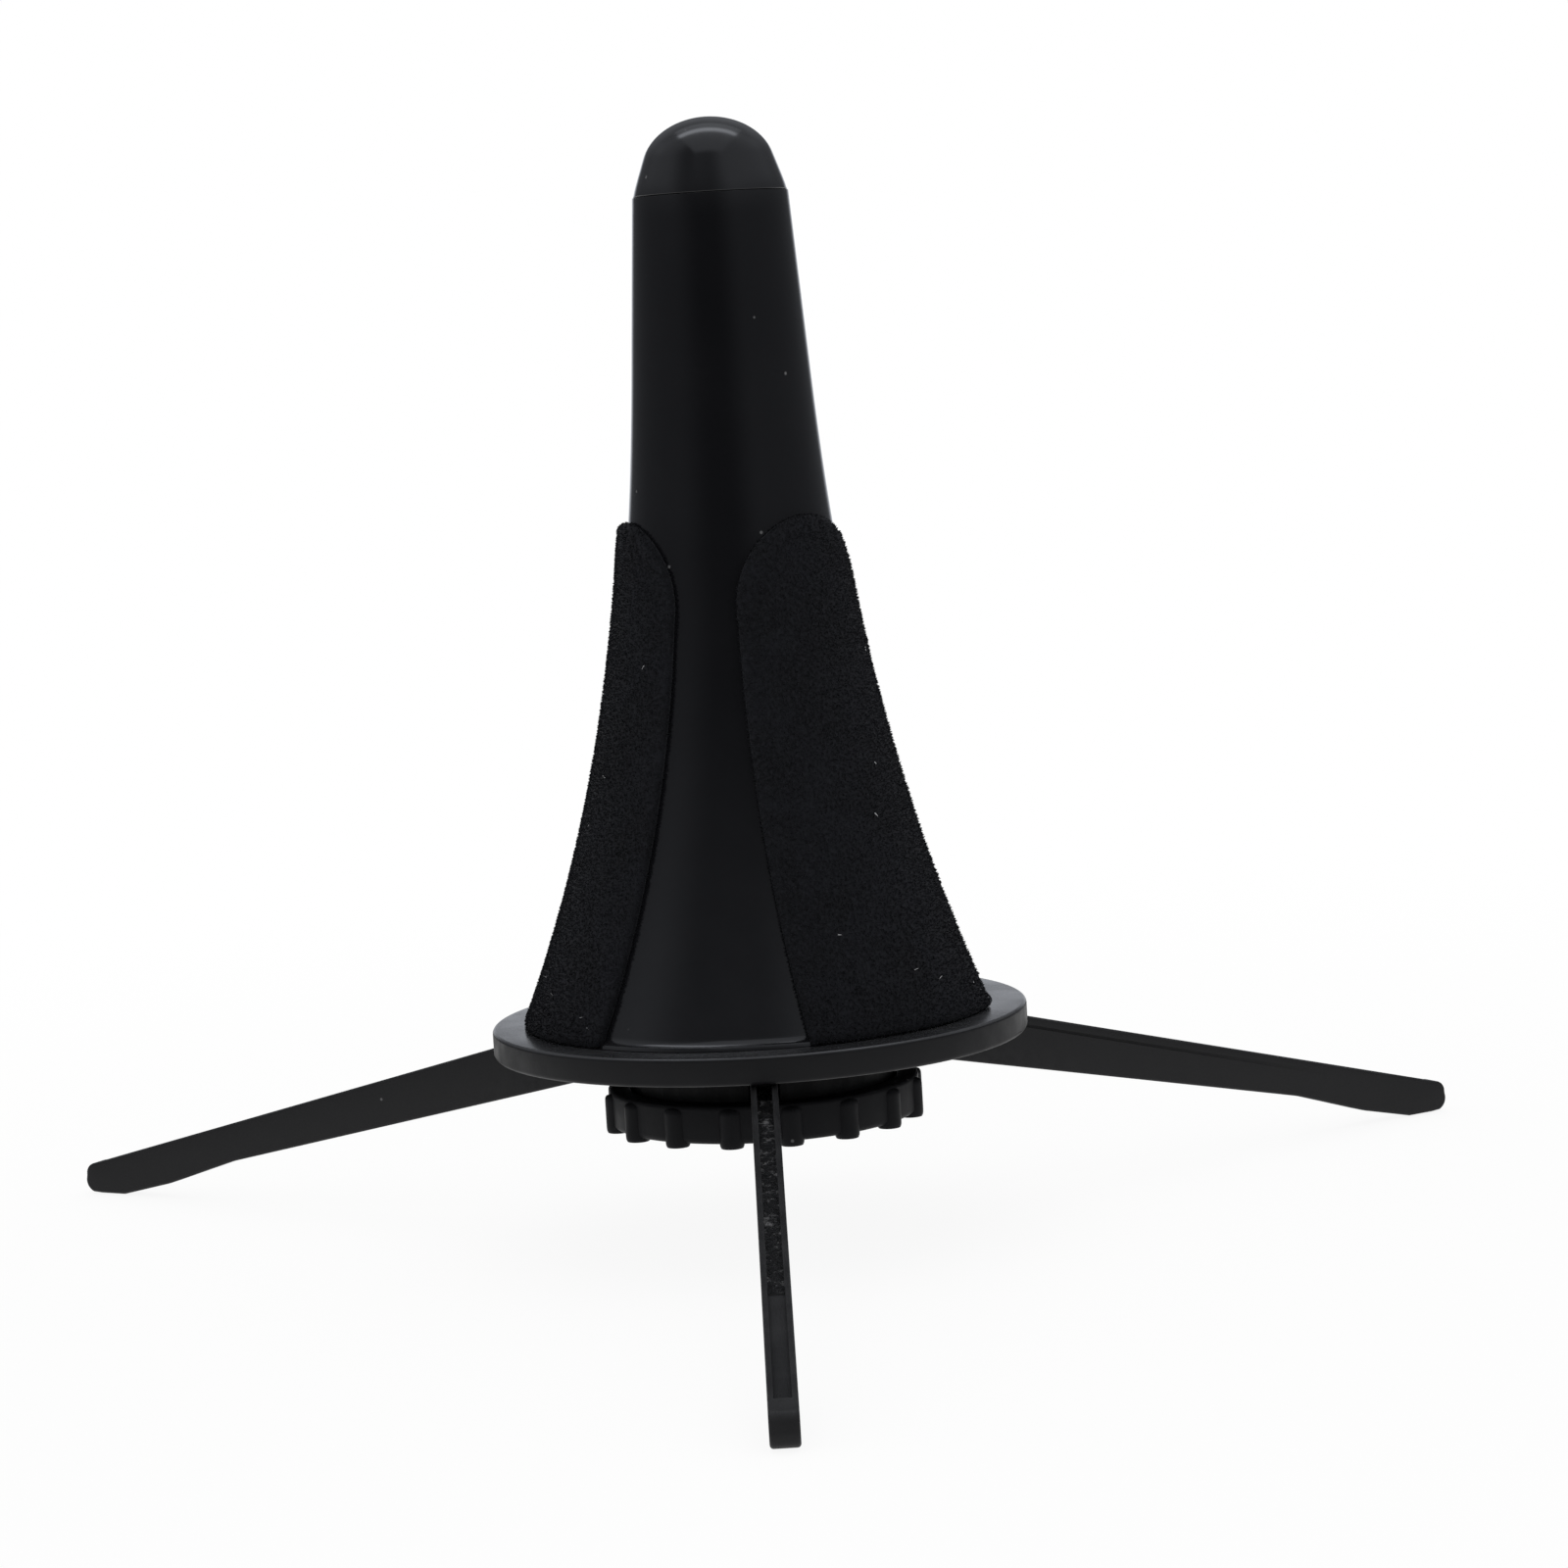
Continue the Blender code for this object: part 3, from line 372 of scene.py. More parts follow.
def node_group(kind, outputs, inputs):
    """Turns a function that fills a node group into one that gives the group, made on first use."""
    def wrap(fill):
        def get():
            name = fill.__name__
            if name in bpy.data.node_groups:
                return bpy.data.node_groups[name]
            tree = bpy.data.node_groups.new(name, kind + "NodeTree")
            for label, default in inputs.items():
                socket = {float: "Float", int: "Int"}.get(type(default), default)
                made = tree.interface.new_socket(
                    name=label, in_out="INPUT", socket_type="NodeSocket" + socket)
                if socket != default:
                    made.default_value = default
            for label in outputs:
                tree.interface.new_socket(name=label, in_out="OUTPUT", socket_type="NodeSocket" + (
                    "Geometry" if kind == "Geometry" else "Float"))
            net = Net(tree)
            source, result = net.add("NodeGroupInput"), net.add("NodeGroupOutput")
            values = fill(net, {label: Value(net, source.outputs[label]) for label in inputs})
            for index, value in enumerate(values):
                net.feed(result.inputs[index], value)
            return tree
        return get
    return wrap


@node_group("Shader", ("Height", "Tone"), {"Scale": 3000.0, "Roughness": 0.6})
def moulded_grain(net, get):
    """Fine moulded grain: a height and a soft tone."""
    place = net.place()
    fine = net.noise(place, get["Scale"], 3.0, get["Roughness"])
    cells = net.out("ShaderNodeTexVoronoi", {"Vector": place, "Scale": get["Scale"] * 0.45}, "Distance")
    return cells * 0.5 + fine, net.noise(place, get["Scale"] * 0.05)


@node_group("Shader", ("Mask",), {"Speck Scale": 700.0, "Speck Amount": 0.1, "Film": 0.1})
def settled_dust(net, get):
    """Sparse dust: small specks and a thin film where the surface faces up."""
    place, normal = net.outs("ShaderNodeTexCoord", None, "Object", "Normal")
    distance, middle = net.outs("ShaderNodeTexVoronoi", {
        "Vector": place, "Scale": get["Speck Scale"], "Randomness": 1.0}, "Distance", "Position")
    chance = net.out("ShaderNodeTexWhiteNoise", {"Vector": middle}, "Value", noise_dimensions="3D")
    specks = (chance < get["Speck Amount"]) * distance.ramp(0.10, 0.26, 1.0, 0.0)
    facing = net.split(normal)[2].ramp(0.1, 0.95)
    film = facing * get["Film"] * net.noise(place, 160.0, 5.0, 0.65).ramp(0.35, 0.7)
    return [specks.math("MAXIMUM", film)]


@node_group("Shader", ("Mask",), {"Start": 0.54, "End": 0.62, "Scale": 500.0})
def edge_wear(net, get):
    """Wear along the edges, broken up by noise."""
    edge = net.out("ShaderNodeNewGeometry", output="Pointiness").ramp(get["Start"], get["End"])
    return [edge * net.noise(net.place(), get["Scale"], 4.0, 0.7).ramp(0.38, 0.62)]


@node_group("Shader", ("Mask",), {"Scale": 240.0, "Amount": 0.5})
def hairline_scratches(net, get):
    """Hairline scratches that run in two slanted directions."""
    masks = []
    for turn, stretch in ((0.35, 26.0), (-0.8, 34.0)):
        lines = net.stretched(net.place(), (stretch, stretch, 1.0), (turn, turn * 0.6, turn))
        masks.append(net.noise(lines, get["Scale"], 1.0).ramp(0.70, 0.74))
    return [masks[0].math("MAXIMUM", masks[1]) * get["Amount"]]


# Materials

# What plastic and metal are given for each material that they make
FINISHES = {
    "polished_moulding": ("gloss", 0.15, 0.5, 1400.0, 0.0000012, 0.05, 0.008, 0.25),
    "satin_moulding": ("matte", 0.46, 0.14, 5200.0, 0.000010, 0.08, 0.02, 0.15),
    # The seat finish is smoother for real, and its lighter colour is painted light on the flange's top
    "seat_moulding": ("seat", 0.24, 0.5, 2600.0, 0.000003, 0.08, 0.02, 0.3),
    # The carrier's finish is a darker, duller copy of the moulding: painted shade under the flange
    "carrier_moulding": ("carrier", 0.50, 0.09, 5200.0, 0.000010, 0.08, 0.02, 0.15),
    "knob_moulding": ("knob", 0.50, 0.09, 4200.0, 0.000010, 0.08, 0.02, 0.2),
    "zinc_plate": ("zinc", 0.34, (0.42, 0.43, 0.45)),
    "turned_brass": ("brass", 0.30, (0.52, 0.37, 0.17)),
}
SPECK_SCALE = 900.0
EDGES = (0.53, 0.60, 600.0)


def material(paint_shader):
    """Turns a function that fills a shader into one that gives the material, made on first use."""
    def get(name=paint_shader.__name__):
        if name in bpy.data.materials:
            return bpy.data.materials[name]
        made = bpy.data.materials.new(name)
        made.use_nodes = True
        shader = made.node_tree.nodes["Principled BSDF"]
        paint_shader(Net(made.node_tree), shader, *FINISHES.get(name, ()))
        return made
    return get


def tune(shader, **values):
    """Sets plain inputs of a shader."""
    for name, value in values.items():
        shader.inputs[name.replace("_", " ")].default_value = value


def coat(net, shader, tint, rough, height, strength, depth):
    """Feeds a shader's colour, roughness and bump."""
    normal = net.out("ShaderNodeBump", {"Height": height, "Strength": strength, "Distance": depth})
    for name, value in (("Base Color", tint), ("Roughness", rough), ("Normal", normal)):
        net.feed(shader.inputs[name], value)


def shade(value, factor=1.0, lift=0.0):
    """A shade of a colour, opaque."""
    return tuple(min(1.0, part * factor + lift) for part in value) + (1.0,)


@material
def plastic(net, shader, finish, roughness, shine, grain, grain_depth, film, specks, scratched):
    """Black moulding with grain, dust, scratches and edge wear, each at its own strength."""
    base = getattr(sizes("finish"), finish)
    tune(shader, Roughness=roughness, Specular_IOR_Level=shine)
    height, tone = net.group(moulded_grain(), grain, 0.6)
    dust, = net.group(settled_dust(), SPECK_SCALE, specks, film)
    wear, = net.group(edge_wear(), *EDGES)
    lines, = net.group(hairline_scratches(), 220.0, scratched)
    toned = net.mix(tone, shade(base, 0.80), shade(base, 1.22))
    worn = net.mix(wear * 0.35, toned, shade(base, 2.4, 0.006))
    rough = lines * 0.22 + tone.ramp(0.3, 0.7, roughness * 0.88, roughness * 1.12)
    rough = (dust * 0.35 + rough).math("MINIMUM", 0.95)
    coat(net, shader, net.mix(dust * 0.5, worn, DUST), rough, height, 1.0, grain_depth)


@material
def leg_moulding(net, shader):
    """Satin plastic of the legs, with the coarse floor of their channels."""
    base = sizes("finish").leg
    tune(shader, Roughness=0.48, Specular_IOR_Level=0.14)
    inside = net.out("ShaderNodeAttribute", output="Fac", attribute_name="channel")
    height, tone = net.group(moulded_grain(), 5200.0, 0.6)
    coarse = net.group(moulded_grain(), 1500.0, 0.75)[0]
    dust, = net.group(settled_dust(), SPECK_SCALE, 0.004, 0.10)
    wear, = net.group(edge_wear(), *EDGES)
    toned = net.mix(tone, shade(base, 0.85), shade(base, 1.18))
    worn = net.mix(wear * 0.4, toned, shade(base, 2.6, 0.008))
    outer = net.mix(dust * 0.5, worn, DUST)
    inner = net.mix(coarse.ramp(0.80, 1.05), shade(base), (0.17, 0.17, 0.175, 1.0))
    rough = inside * -0.10 + tone.ramp(0.3, 0.7, 0.43, 0.54)
    coat(net, shader, net.mix(inside, outer, inner), rough, height * 0.05 + coarse * inside, 1.0, 0.00022)


@material
def black_velvet(net, shader):
    """Short black pile, brushed in patches."""
    base = sizes("finish").velvet
    tune(shader, Roughness=0.95, Specular_IOR_Level=0.2, Sheen_Weight=0.035, Sheen_Roughness=0.45,
         Sheen_Tint=(0.80, 0.80, 0.90, 1.0))
    brushed = net.noise(net.place(), 130.0, 4.0, 0.6, 0.6)
    tuft = net.noise(net.place(), 2600.0, 4.0, 0.7)
    patched = net.mix(brushed.ramp(0.35, 0.68), shade(base, 0.75), shade(base, 1.45))
    flecked = net.mix(tuft.ramp(0.36, 0.76), patched, shade(base, 2.0, 0.0015))
    coat(net, shader, flecked, brushed.ramp(0.3, 0.7, 0.86, 0.98), brushed * 0.6 + tuft, 0.5, 0.00009)


@material
def pale_lint(net, shader):
    """Pale lint fibres."""
    base = sizes("finish").lint
    tone = net.noise(net.place(), 900.0)
    coat(net, shader, net.mix(tone, shade(base, 0.6), shade(base)), 0.9, tone, 0.4, 0.00003)


@material
def metal(net, shader, finish, roughness, stain):
    """Plated or turned metal with fine turning lines and a cloudy tarnish."""
    base = getattr(sizes("finish"), finish)
    tune(shader, Roughness=roughness, Metallic=1.0)
    lines = net.noise(net.stretched(net.place(), (1.0, 1.0, 14.0)), 1500.0, 3.0)
    cloud = net.noise(net.place(), 420.0, 5.0, 0.65)
    wear, = net.group(edge_wear(), 0.52, 0.62, 900.0)
    stained = net.mix(cloud.ramp(0.35, 0.75), shade(base), shade(stain))
    rough = cloud.ramp(0.3, 0.7, roughness * 0.8, roughness * 1.3)
    coat(net, shader, net.mix(wear * 0.5, stained, shade(base, 1.25)), rough, lines, 0.35, 0.00003)


# Mesh building

def turned(profile, segments, closed=True):
    """A shape turned about Z from (radius, height) points."""
    mesh = bmesh.new()
    points = [mesh.verts.new((radius, 0, height)) for radius, height in profile]
    edges = [mesh.edges.new(pair) for pair in zip(points, points[1:])]
    if closed:
        edges.append(mesh.edges.new((points[-1], points[0])))
    bmesh.ops.spin(mesh, geom=points + edges, axis=(0, 0, 1), cent=(0, 0, 0), angle=math.tau,
                   steps=segments, use_merge=True)
    bmesh.ops.remove_doubles(mesh, verts=mesh.verts, dist=1e-7)
    bmesh.ops.recalc_face_normals(mesh, faces=mesh.faces)
    return mesh


def arc(middle, radius, start, end, steps):
    """Points of an arc, in degrees from the first axis."""
    angles = [math.radians(start + (end - start) * index / steps) for index in range(steps + 1)]
    return [(middle[0] + radius * math.cos(angle), middle[1] + radius * math.sin(angle))
            for angle in angles]


def extruded(outline, thickness):
    """Plate with an (x, z) outline, centred on y = 0."""
    mesh = bmesh.new()
    face = mesh.faces.new([mesh.verts.new((x, -thickness / 2, z)) for x, z in outline])
    pulled = bmesh.ops.extrude_face_region(mesh, geom=[face])["geom"]
    moved = [item for item in pulled if isinstance(item, bmesh.types.BMVert)]
    bmesh.ops.translate(mesh, verts=moved, vec=(0, thickness, 0))
    return mesh


def add_mesh(target, extra):
    """Puts one bmesh into another."""
    data = bpy.data.meshes.new("part")
    extra.to_mesh(data)
    extra.free()
    target.from_mesh(data)
    bpy.data.meshes.remove(data)


def to_piece(mesh, name, made=None, place=Matrix.Identity(4), recalc=True):
    """A bmesh as an object at the origin, with its place in its mesh."""
    if recalc:
        bmesh.ops.recalc_face_normals(mesh, faces=mesh.faces)
    data = bpy.data.meshes.new(name)
    mesh.to_mesh(data)
    mesh.free()
    data.transform(place)
    piece = bpy.data.objects.new(name, data)
    bpy.context.scene.collection.objects.link(piece)
    if made is not None:
        data.materials.append(made)
    return piece


def bake(piece):
    """Applies a piece's modifiers, so that it is a plain mesh."""
    bpy.context.view_layer.update()
    evaluated = piece.evaluated_get(bpy.context.evaluated_depsgraph_get())
    data = bpy.data.meshes.new_from_object(evaluated)
    piece.modifiers.clear()
    old = piece.data
    piece.data = data
    bpy.data.meshes.remove(old)
    data.name = piece.name
    return piece


def bevel(piece, width):
    """Rounds a piece's sharp edges."""
    step = piece.modifiers.new("edges", "BEVEL")
    step.width = width
    step.segments = 4
    step.limit_method = "ANGLE"
    step.angle_limit = math.radians(50)
    return bake(piece)


def smooth(piece, angle):
    """Smooth shading with edges kept sharp over an angle."""
    piece.data.shade_smooth()
    piece.data.set_sharp_from_angle(angle=math.radians(angle))


def cut(piece, tools, operation="DIFFERENCE"):
    """Cuts or joins tools, which are used up."""
    for tool in tools:
        step = piece.modifiers.new("cut", "BOOLEAN")
        step.operation = operation
        step.solver = "EXACT"
        step.object = tool
    bake(piece)
    for tool in tools:
        data = tool.data
        bpy.data.objects.remove(tool)
        bpy.data.meshes.remove(data)


def rounded_box(low, high, width):
    """A box with rounded edges, as a bmesh."""
    mesh = bmesh.new()
    size = Vector(high) - Vector(low)
    middle = (Vector(high) + Vector(low)) / 2
    bmesh.ops.create_cube(mesh, size=1.0, matrix=Matrix.Translation(middle) @ Matrix.Diagonal((*size, 1)))
    bmesh.ops.bevel(mesh, geom=mesh.edges[:], offset=width, segments=2, affect="EDGES", profile=0.5)
    return mesh


def grown(name, tree, values, source=None):
    """An object that a node tree makes, as a plain mesh."""
    made = source or to_piece(bmesh.new(), name)
    step = made.modifiers.new("shape", "NODES")
    step.node_group = tree
    for item in tree.interface.items_tree:
        if item.item_type == "SOCKET" and item.in_out == "INPUT" and item.name in values:
            step[item.identifier] = values[item.name]
    return bake(made)


def dress(piece, body, slot, *nodes):
    """Ties a finished piece to its body and hides the nodes it stands for; its slot is not used."""
    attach(piece, body)
    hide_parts(*nodes)


def paint(node, made):
    """Gives a carried-over node its finish."""
    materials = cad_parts[node].data.materials
    materials.clear()
    materials.append(made)


# Node trees that make shapes

@node_group("Geometry", ("Mesh",), dict.fromkeys(CONE_SIZES + ("Axis Y", "Base"), 0.0) | {
    "Segments": 96, "Rows": 40, "Material": "Material"})
def flared_cone(net, get):
    """Hollow flared cone on its plinth, computed from a grid."""
    rows, tall, plinth, fillet = get["Rows"], get["Height"], get["Plinth Height"], get["Foot Fillet"]
    count = rows * 2.0 + 5.0
    grid = net.out("GeometryNodeMeshGrid", {
        "Size X": 1.0, "Size Y": 1.0, "Vertices X": get["Segments"] + 1.0, "Vertices Y": count})
    x, y, _ = net.split(net.out("GeometryNodeInputPosition"))
    turn = (x + 0.5) * math.tau
    row = ((y + 0.5) * (count - 1.0)).math("ROUND")
    first, second, foot, inner = row < 0.5, row > 1.5, row < 2.5, row > rows + 3.5
    outer_share = ((row - 3.0) / rows).clipped()
    inner_share = (1.0 - (row - 4.0 - rows) / rows).clipped()
    share = inner.pick(outer_share, inner_share) ** 2.0
    height = inner.pick(share * (tall - plinth) + plinth, share * tall)
    height = foot.pick(height, second * plinth)
    straight = (tall - height) * get["Taper"] + get["Top Radius"]
    flare = (1.0 - height / get["Flare Height"]).math("MAXIMUM", 0.0) ** get["Flare Power"]
    radius = flare * get["Flare"] + straight
    near = (1.0 - (height - plinth) / (fillet * 1.5)).math("MAXIMUM", 0.0)
    radius = inner.pick(near ** 2.4 * fillet + radius, radius - get["Wall"])
    start = tall * get["Taper"] + get["Top Radius"] + get["Flare"] - get["Wall"]
    ring = get["Plinth Radius"] - second * get["Plinth Lean"]
    radius = foot.pick(radius, first.pick(ring, start))
    place = net.join(radius * turn.math("COSINE"), radius * turn.math("SINE") + get["Axis Y"],
                     height + get["Base"])
    moved = net.out("GeometryNodeSetPosition", {"Geometry": grid, "Position": place})
    merged = net.out("GeometryNodeMergeByDistance", {"Geometry": moved, "Distance": 0.000002})
    return [net.coated(merged, get["Material"])]


@node_group("Geometry", ("Mesh",), {"Count": 16} | dict.fromkeys(
    ("Circle Radius", "Rib Radius", "Low", "High", "First Turn", "Axis Y"), 0.0) | {"Material": "Material"})
def grip_ribs(net, get):
    """Round-ended ribs in a ring about Z."""
    start, end = (net.join(get["Circle Radius"], 0.0, get[label]) for label in ("Low", "High"))
    line = net.out("GeometryNodeCurvePrimitiveLine", {"Start": start, "End": end})
    fine = net.out("GeometryNodeResampleCurve", {"Curve": line, "Count": 22})
    along = net.out("GeometryNodeSplineParameter", output="Factor")
    end_fall = (along * 2.0 - 1.0).math("ABSOLUTE") ** 12.0 * (along * 0.55 + 0.20)
    shaped = net.out("GeometryNodeSetCurveRadius", {
        "Curve": fine, "Radius": (1.0 - end_fall).math("SQRT") * get["Rib Radius"]})
    section = net.out("GeometryNodeCurvePrimitiveCircle", {"Resolution": 24, "Radius": 1.0})
    bar = net.add("GeometryNodeCurveToMesh", {"Curve": shaped, "Profile Curve": section, "Fill Caps": True})
    for socket in bar.inputs:
        if socket.name == "Scale":
            net.feed(socket, net.out("GeometryNodeInputRadius"))
    points = net.out("GeometryNodePoints", {"Count": get["Count"]})
    angle = net.out("GeometryNodeInputIndex") * math.tau / get["Count"] + get["First Turn"]
    copies = net.out("GeometryNodeInstanceOnPoints", {
        "Points": points, "Instance": Value(net, bar.outputs[0]),
        "Rotation": net.out("FunctionNodeEulerToRotation", {0: net.join(z=angle)})})
    moved = net.out("GeometryNodeTransform", {"Geometry": copies, "Translation": net.join(y=get["Axis Y"])})
    return [net.coated(moved, get["Material"])]


def fibres_on(net, surface, density, size, width, seed, tilt, made):
    """Tapered fibres scattered on a surface, as realized geometry."""
    points, facing = net.outs(
        "GeometryNodeDistributePointsOnFaces", {"Mesh": surface, "Density": density, "Seed": seed},
        "Points", "Rotation", distribute_method="RANDOM")
    blade = net.out("GeometryNodeMeshCone", {
        "Vertices": 3, "Radius Top": width * 0.25, "Radius Bottom": width, "Depth": size},
        "Mesh", fill_type="NONE")
    lean = net.out("FunctionNodeRandomValue", {
        0: (-tilt, -tilt, -3.0), 1: (tilt, tilt, 3.0), "Seed": 7}, data_type="FLOAT_VECTOR")
    rotation = net.out("FunctionNodeRotateRotation", {
        "Rotation": facing, "Rotate By": net.out("FunctionNodeEulerToRotation", {0: lean})},
        rotation_space="LOCAL")
    scale = net.out("FunctionNodeRandomValue", {2: 0.55, 3: 1.15, "Seed": 11}, 1, data_type="FLOAT")
    return net.coated(net.out("GeometryNodeInstanceOnPoints", {
        "Points": points, "Instance": blade, "Rotation": rotation, "Scale": scale}), made)


@node_group("Geometry", ("Mesh",), {"Pad": "Geometry"} | dict.fromkeys(
    ("Density", "Length", "Width", "Lint Density"), 0.0) | {
    "Seed": 1, "Material": "Material", "Lint Material": "Material"})
def velvet_pile(net, get):
    """Velvet pile and a little lint on a pad's outer face."""
    outside = net.out("GeometryNodeInputNamedAttribute", {"Name": "outside"}, data_type="FLOAT")
    pile = fibres_on(net, get["Pad"], outside * get["Density"], get["Length"], get["Width"], get["Seed"],
                     0.55, get["Material"])
    lint = fibres_on(net, get["Pad"], outside * get["Lint Density"], get["Length"] * 2.3,
                     get["Width"] * 0.7, 5, 1.4, get["Lint Material"])
    joined = net.add("GeometryNodeJoinGeometry")
    for part in (lint, pile, net.coated(get["Pad"], get["Material"])):
        net.feed(joined.inputs[0], part)
    return [Value(net, joined.outputs[0])]


# Pieces

def peg_radius(height):
    """Radius of the bare cone at a height over the flange."""
    peg = sizes("peg")
    flare = max(0.0, 1 - height / peg.flare_height) ** peg.flare_power
    return peg.top_radius + peg.taper * (peg.height - height) + peg.flare * flare


def dome_radius(drop):
    """Outer radius of the dome at a distance below its top."""
    peg = sizes("peg")
    share = 1 - min(drop, peg.dome_drop) / peg.dome_curve
    radius = peg.dome_radius * math.sqrt(max(0.0, 1 - share * share))
    if drop <= peg.dome_drop:
        return radius
    straight = (peg.top_radius - radius) / (peg.dome_height - peg.dome_drop)
    return radius + straight * (drop - peg.dome_drop)


def make_cone():
    """The hollow cone with its plinth, and the screw bosses inside it."""
    peg = sizes("peg")
    seam_lap = 0.00002
    values = {label: getattr(peg, label.lower().replace(" ", "_")) for label in CONE_SIZES}
    values |= {"Height": peg.height + seam_lap, "Axis Y": AXIS.y, "Base": FLANGE_TOP,
               "Segments": peg.segments, "Rows": peg.rows, "Material": plastic("polished_moulding")}
    cone = bevel(grown("cone", flared_cone(), values), peg.edge_round)
    mesh = bmesh.new()
    mesh.from_mesh(cone.data)
    circle, bore, outer, top, hole = 0.022, 0.00155, 0.0027, 0.0130, 0.0100
    chamfer, drill_tip = 0.0004, 0.0002
    for turn in WEB_TURNS:
        boss = turned([(bore, 0.0), (outer, 0.0), (outer, top - chamfer), (outer - chamfer, top),
                       (0.0, top), (0.0, hole), (bore, hole - drill_tip)], 24)
        angle = math.radians(turn)
        bmesh.ops.translate(boss, verts=boss.verts, vec=(
            circle * math.cos(angle), circle * math.sin(angle) + AXIS.y, FLANGE_TOP))
        add_mesh(mesh, boss)
    mesh.to_mesh(cone.data)
    mesh.free()
    smooth(cone, 30.0)
    dress(cone, "peg", "gloss_plastic", "peg_shell")


def make_dome():
    """The domed cap with a rounded lower edge and its plug."""
    peg = sizes("peg")
    top = peg.height + peg.dome_height
    seam = peg.height + 0.00008
    edge, draw_in, plug_gap, lead, lead_height = 0.00014, 0.00012, 0.0003, 0.0005, 0.0006
    steps, side_steps, inner_steps = 24, 8, 12
    outer = []
    for index in range(steps + 1):
        drop = peg.dome_drop * (index / steps) ** 2
        outer.append((dome_radius(drop), top - drop))
    for index in range(1, side_steps + 1):
        drop = peg.dome_drop + (peg.dome_height - peg.dome_drop - edge) * index / side_steps
        outer.append((dome_radius(drop) - draw_in * (index / side_steps) ** 6, top - drop))
    outer += arc((peg.top_radius - edge - draw_in, seam + edge), edge, 0, -90, 5)
    plug = peg.top_radius - peg.wall - plug_gap
    plug_low = seam - peg.spigot
    outer += [(plug, seam), (plug, plug_low + lead_height), (plug - lead, plug_low)]
    bore = plug - peg.dome_wall
    inner = [(bore, plug_low)]
    share = bore / dome_radius(peg.dome_drop)
    for index in range(inner_steps, -1, -1):
        drop = peg.dome_drop * (index / inner_steps) ** 2
        inner.append((dome_radius(drop) * share, top - drop * 0.8 - peg.dome_wall))
    shell = turned(outer + inner, 160, closed=False)
    dome = to_piece(shell, "dome", plastic("polished_moulding"), ON_FLANGE)
    smooth(dome, 40.0)
    dress(dome, "peg", "gloss_plastic", "dome_cap")


def pad_half_width(height):
    """Half width of a pad, measured round the cone."""
    pads = sizes("pads")
    if height <= pads.straight_height:
        share = height / pads.straight_height
        return pads.foot_half_width + (pads.half_width - pads.foot_half_width) * share
    share = min(1.0, (height - pads.straight_height) / pads.arch_height)
    return pads.half_width * math.sqrt(max(0.0, 1 - share * share))


def pad_edge_gap(across, height, half):
    """How far a point of a pad is from its outline."""
    pads = sizes("pads")
    if height > pads.straight_height:
        reach = math.hypot(across / pads.half_width, (height - pads.straight_height) / pads.arch_height)
        return max(0.0, 1 - reach) * min(pads.half_width, pads.arch_height)
    return min(half - abs(across), height - pads.foot_lift)


def pad_outside(across, height, half, seed):
    """How far a pad's outer skin stands off the cone."""
    pads, peg = sizes("pads"), sizes("peg")
    near = min(1.0, max(0.0, pad_edge_gap(across, height, half)) / pads.edge)
    rise = math.sqrt(1 - (1 - near) ** 2)
    waves, finer, swell, ripple, seed_step = 320, 3.1, 0.00006, 0.000025, 7.3
    point = Vector((across * waves, height * waves, seed * seed_step))
    soft = noise.noise(point) * swell + noise.noise(point * finer) * ripple
    edge_share, rise_share, sunk_share = 0.45, 0.55, 0.8
    out = pads.thickness * (edge_share + rise_share * rise) - pads.pile_length * sunk_share + soft * near
    skirt_top, skirt_fade = 0.0009, 0.0007
    skirt = min(1.0, max(0.0, (peg.plinth_height + skirt_top - height) / skirt_fade))
    return max(out, (peg.plinth_radius + pads.skirt - peg_radius(height)) * skirt)


def pad_grid(seed):
    """A pad facing +X: an outer skin with rounded edges and a soft surface, over a plain back."""
    pads = sizes("pads")
    low = pads.foot_lift
    high = pads.straight_height + pads.arch_height - 0.00002
    rows, columns, back_gap = 120, 60, 0.00005
    mesh = bmesh.new()
    outside = mesh.verts.layers.float.new("outside")
    skins = ([], [])
    for skin, lines in enumerate(skins):
        for row in range(rows + 1):
            height = low + (high - low) * (1 - (1 - row / rows) ** 1.5)
            half, cone = pad_half_width(height), peg_radius(height)
            lines.append([])
            for column in range(columns + 1):
                across = math.sin(math.pi / 2 * (2 * column / columns - 1)) * half
                radius = cone + (pad_outside(across, height, half, seed) if skin else back_gap)
                angle = across / (cone + pads.thickness / 2)
                vert = mesh.verts.new((radius * math.cos(angle), radius * math.sin(angle), height))
                vert[outside] = skin
                lines[-1].append(vert)
    for skin, lines in enumerate(skins):
        for below, above in zip(lines, lines[1:]):
            for column in range(columns):
                corners = (below[column], below[column + 1], above[column + 1], above[column])
                if len({vert.co.to_tuple(9) for vert in corners}) > 2:
                    mesh.faces.new(corners if skin else corners[::-1])
    rim = [(0, column) for column in range(columns)] + [(row, columns) for row in range(rows)]
    rim += [(rows, column) for column in range(columns, 0, -1)] + [(row, 0) for row in range(rows, 0, -1)]
    back, front = skins
    for (row, column), (next_row, next_column) in zip(rim, rim[1:] + rim[:1]):
        mesh.faces.new((back[row][column], back[next_row][next_column],
                        front[next_row][next_column], front[row][column]))
    bmesh.ops.remove_doubles(mesh, verts=mesh.verts, dist=1e-7)
    bmesh.ops.dissolve_degenerate(mesh, edges=mesh.edges[:], dist=1e-8)
    return mesh


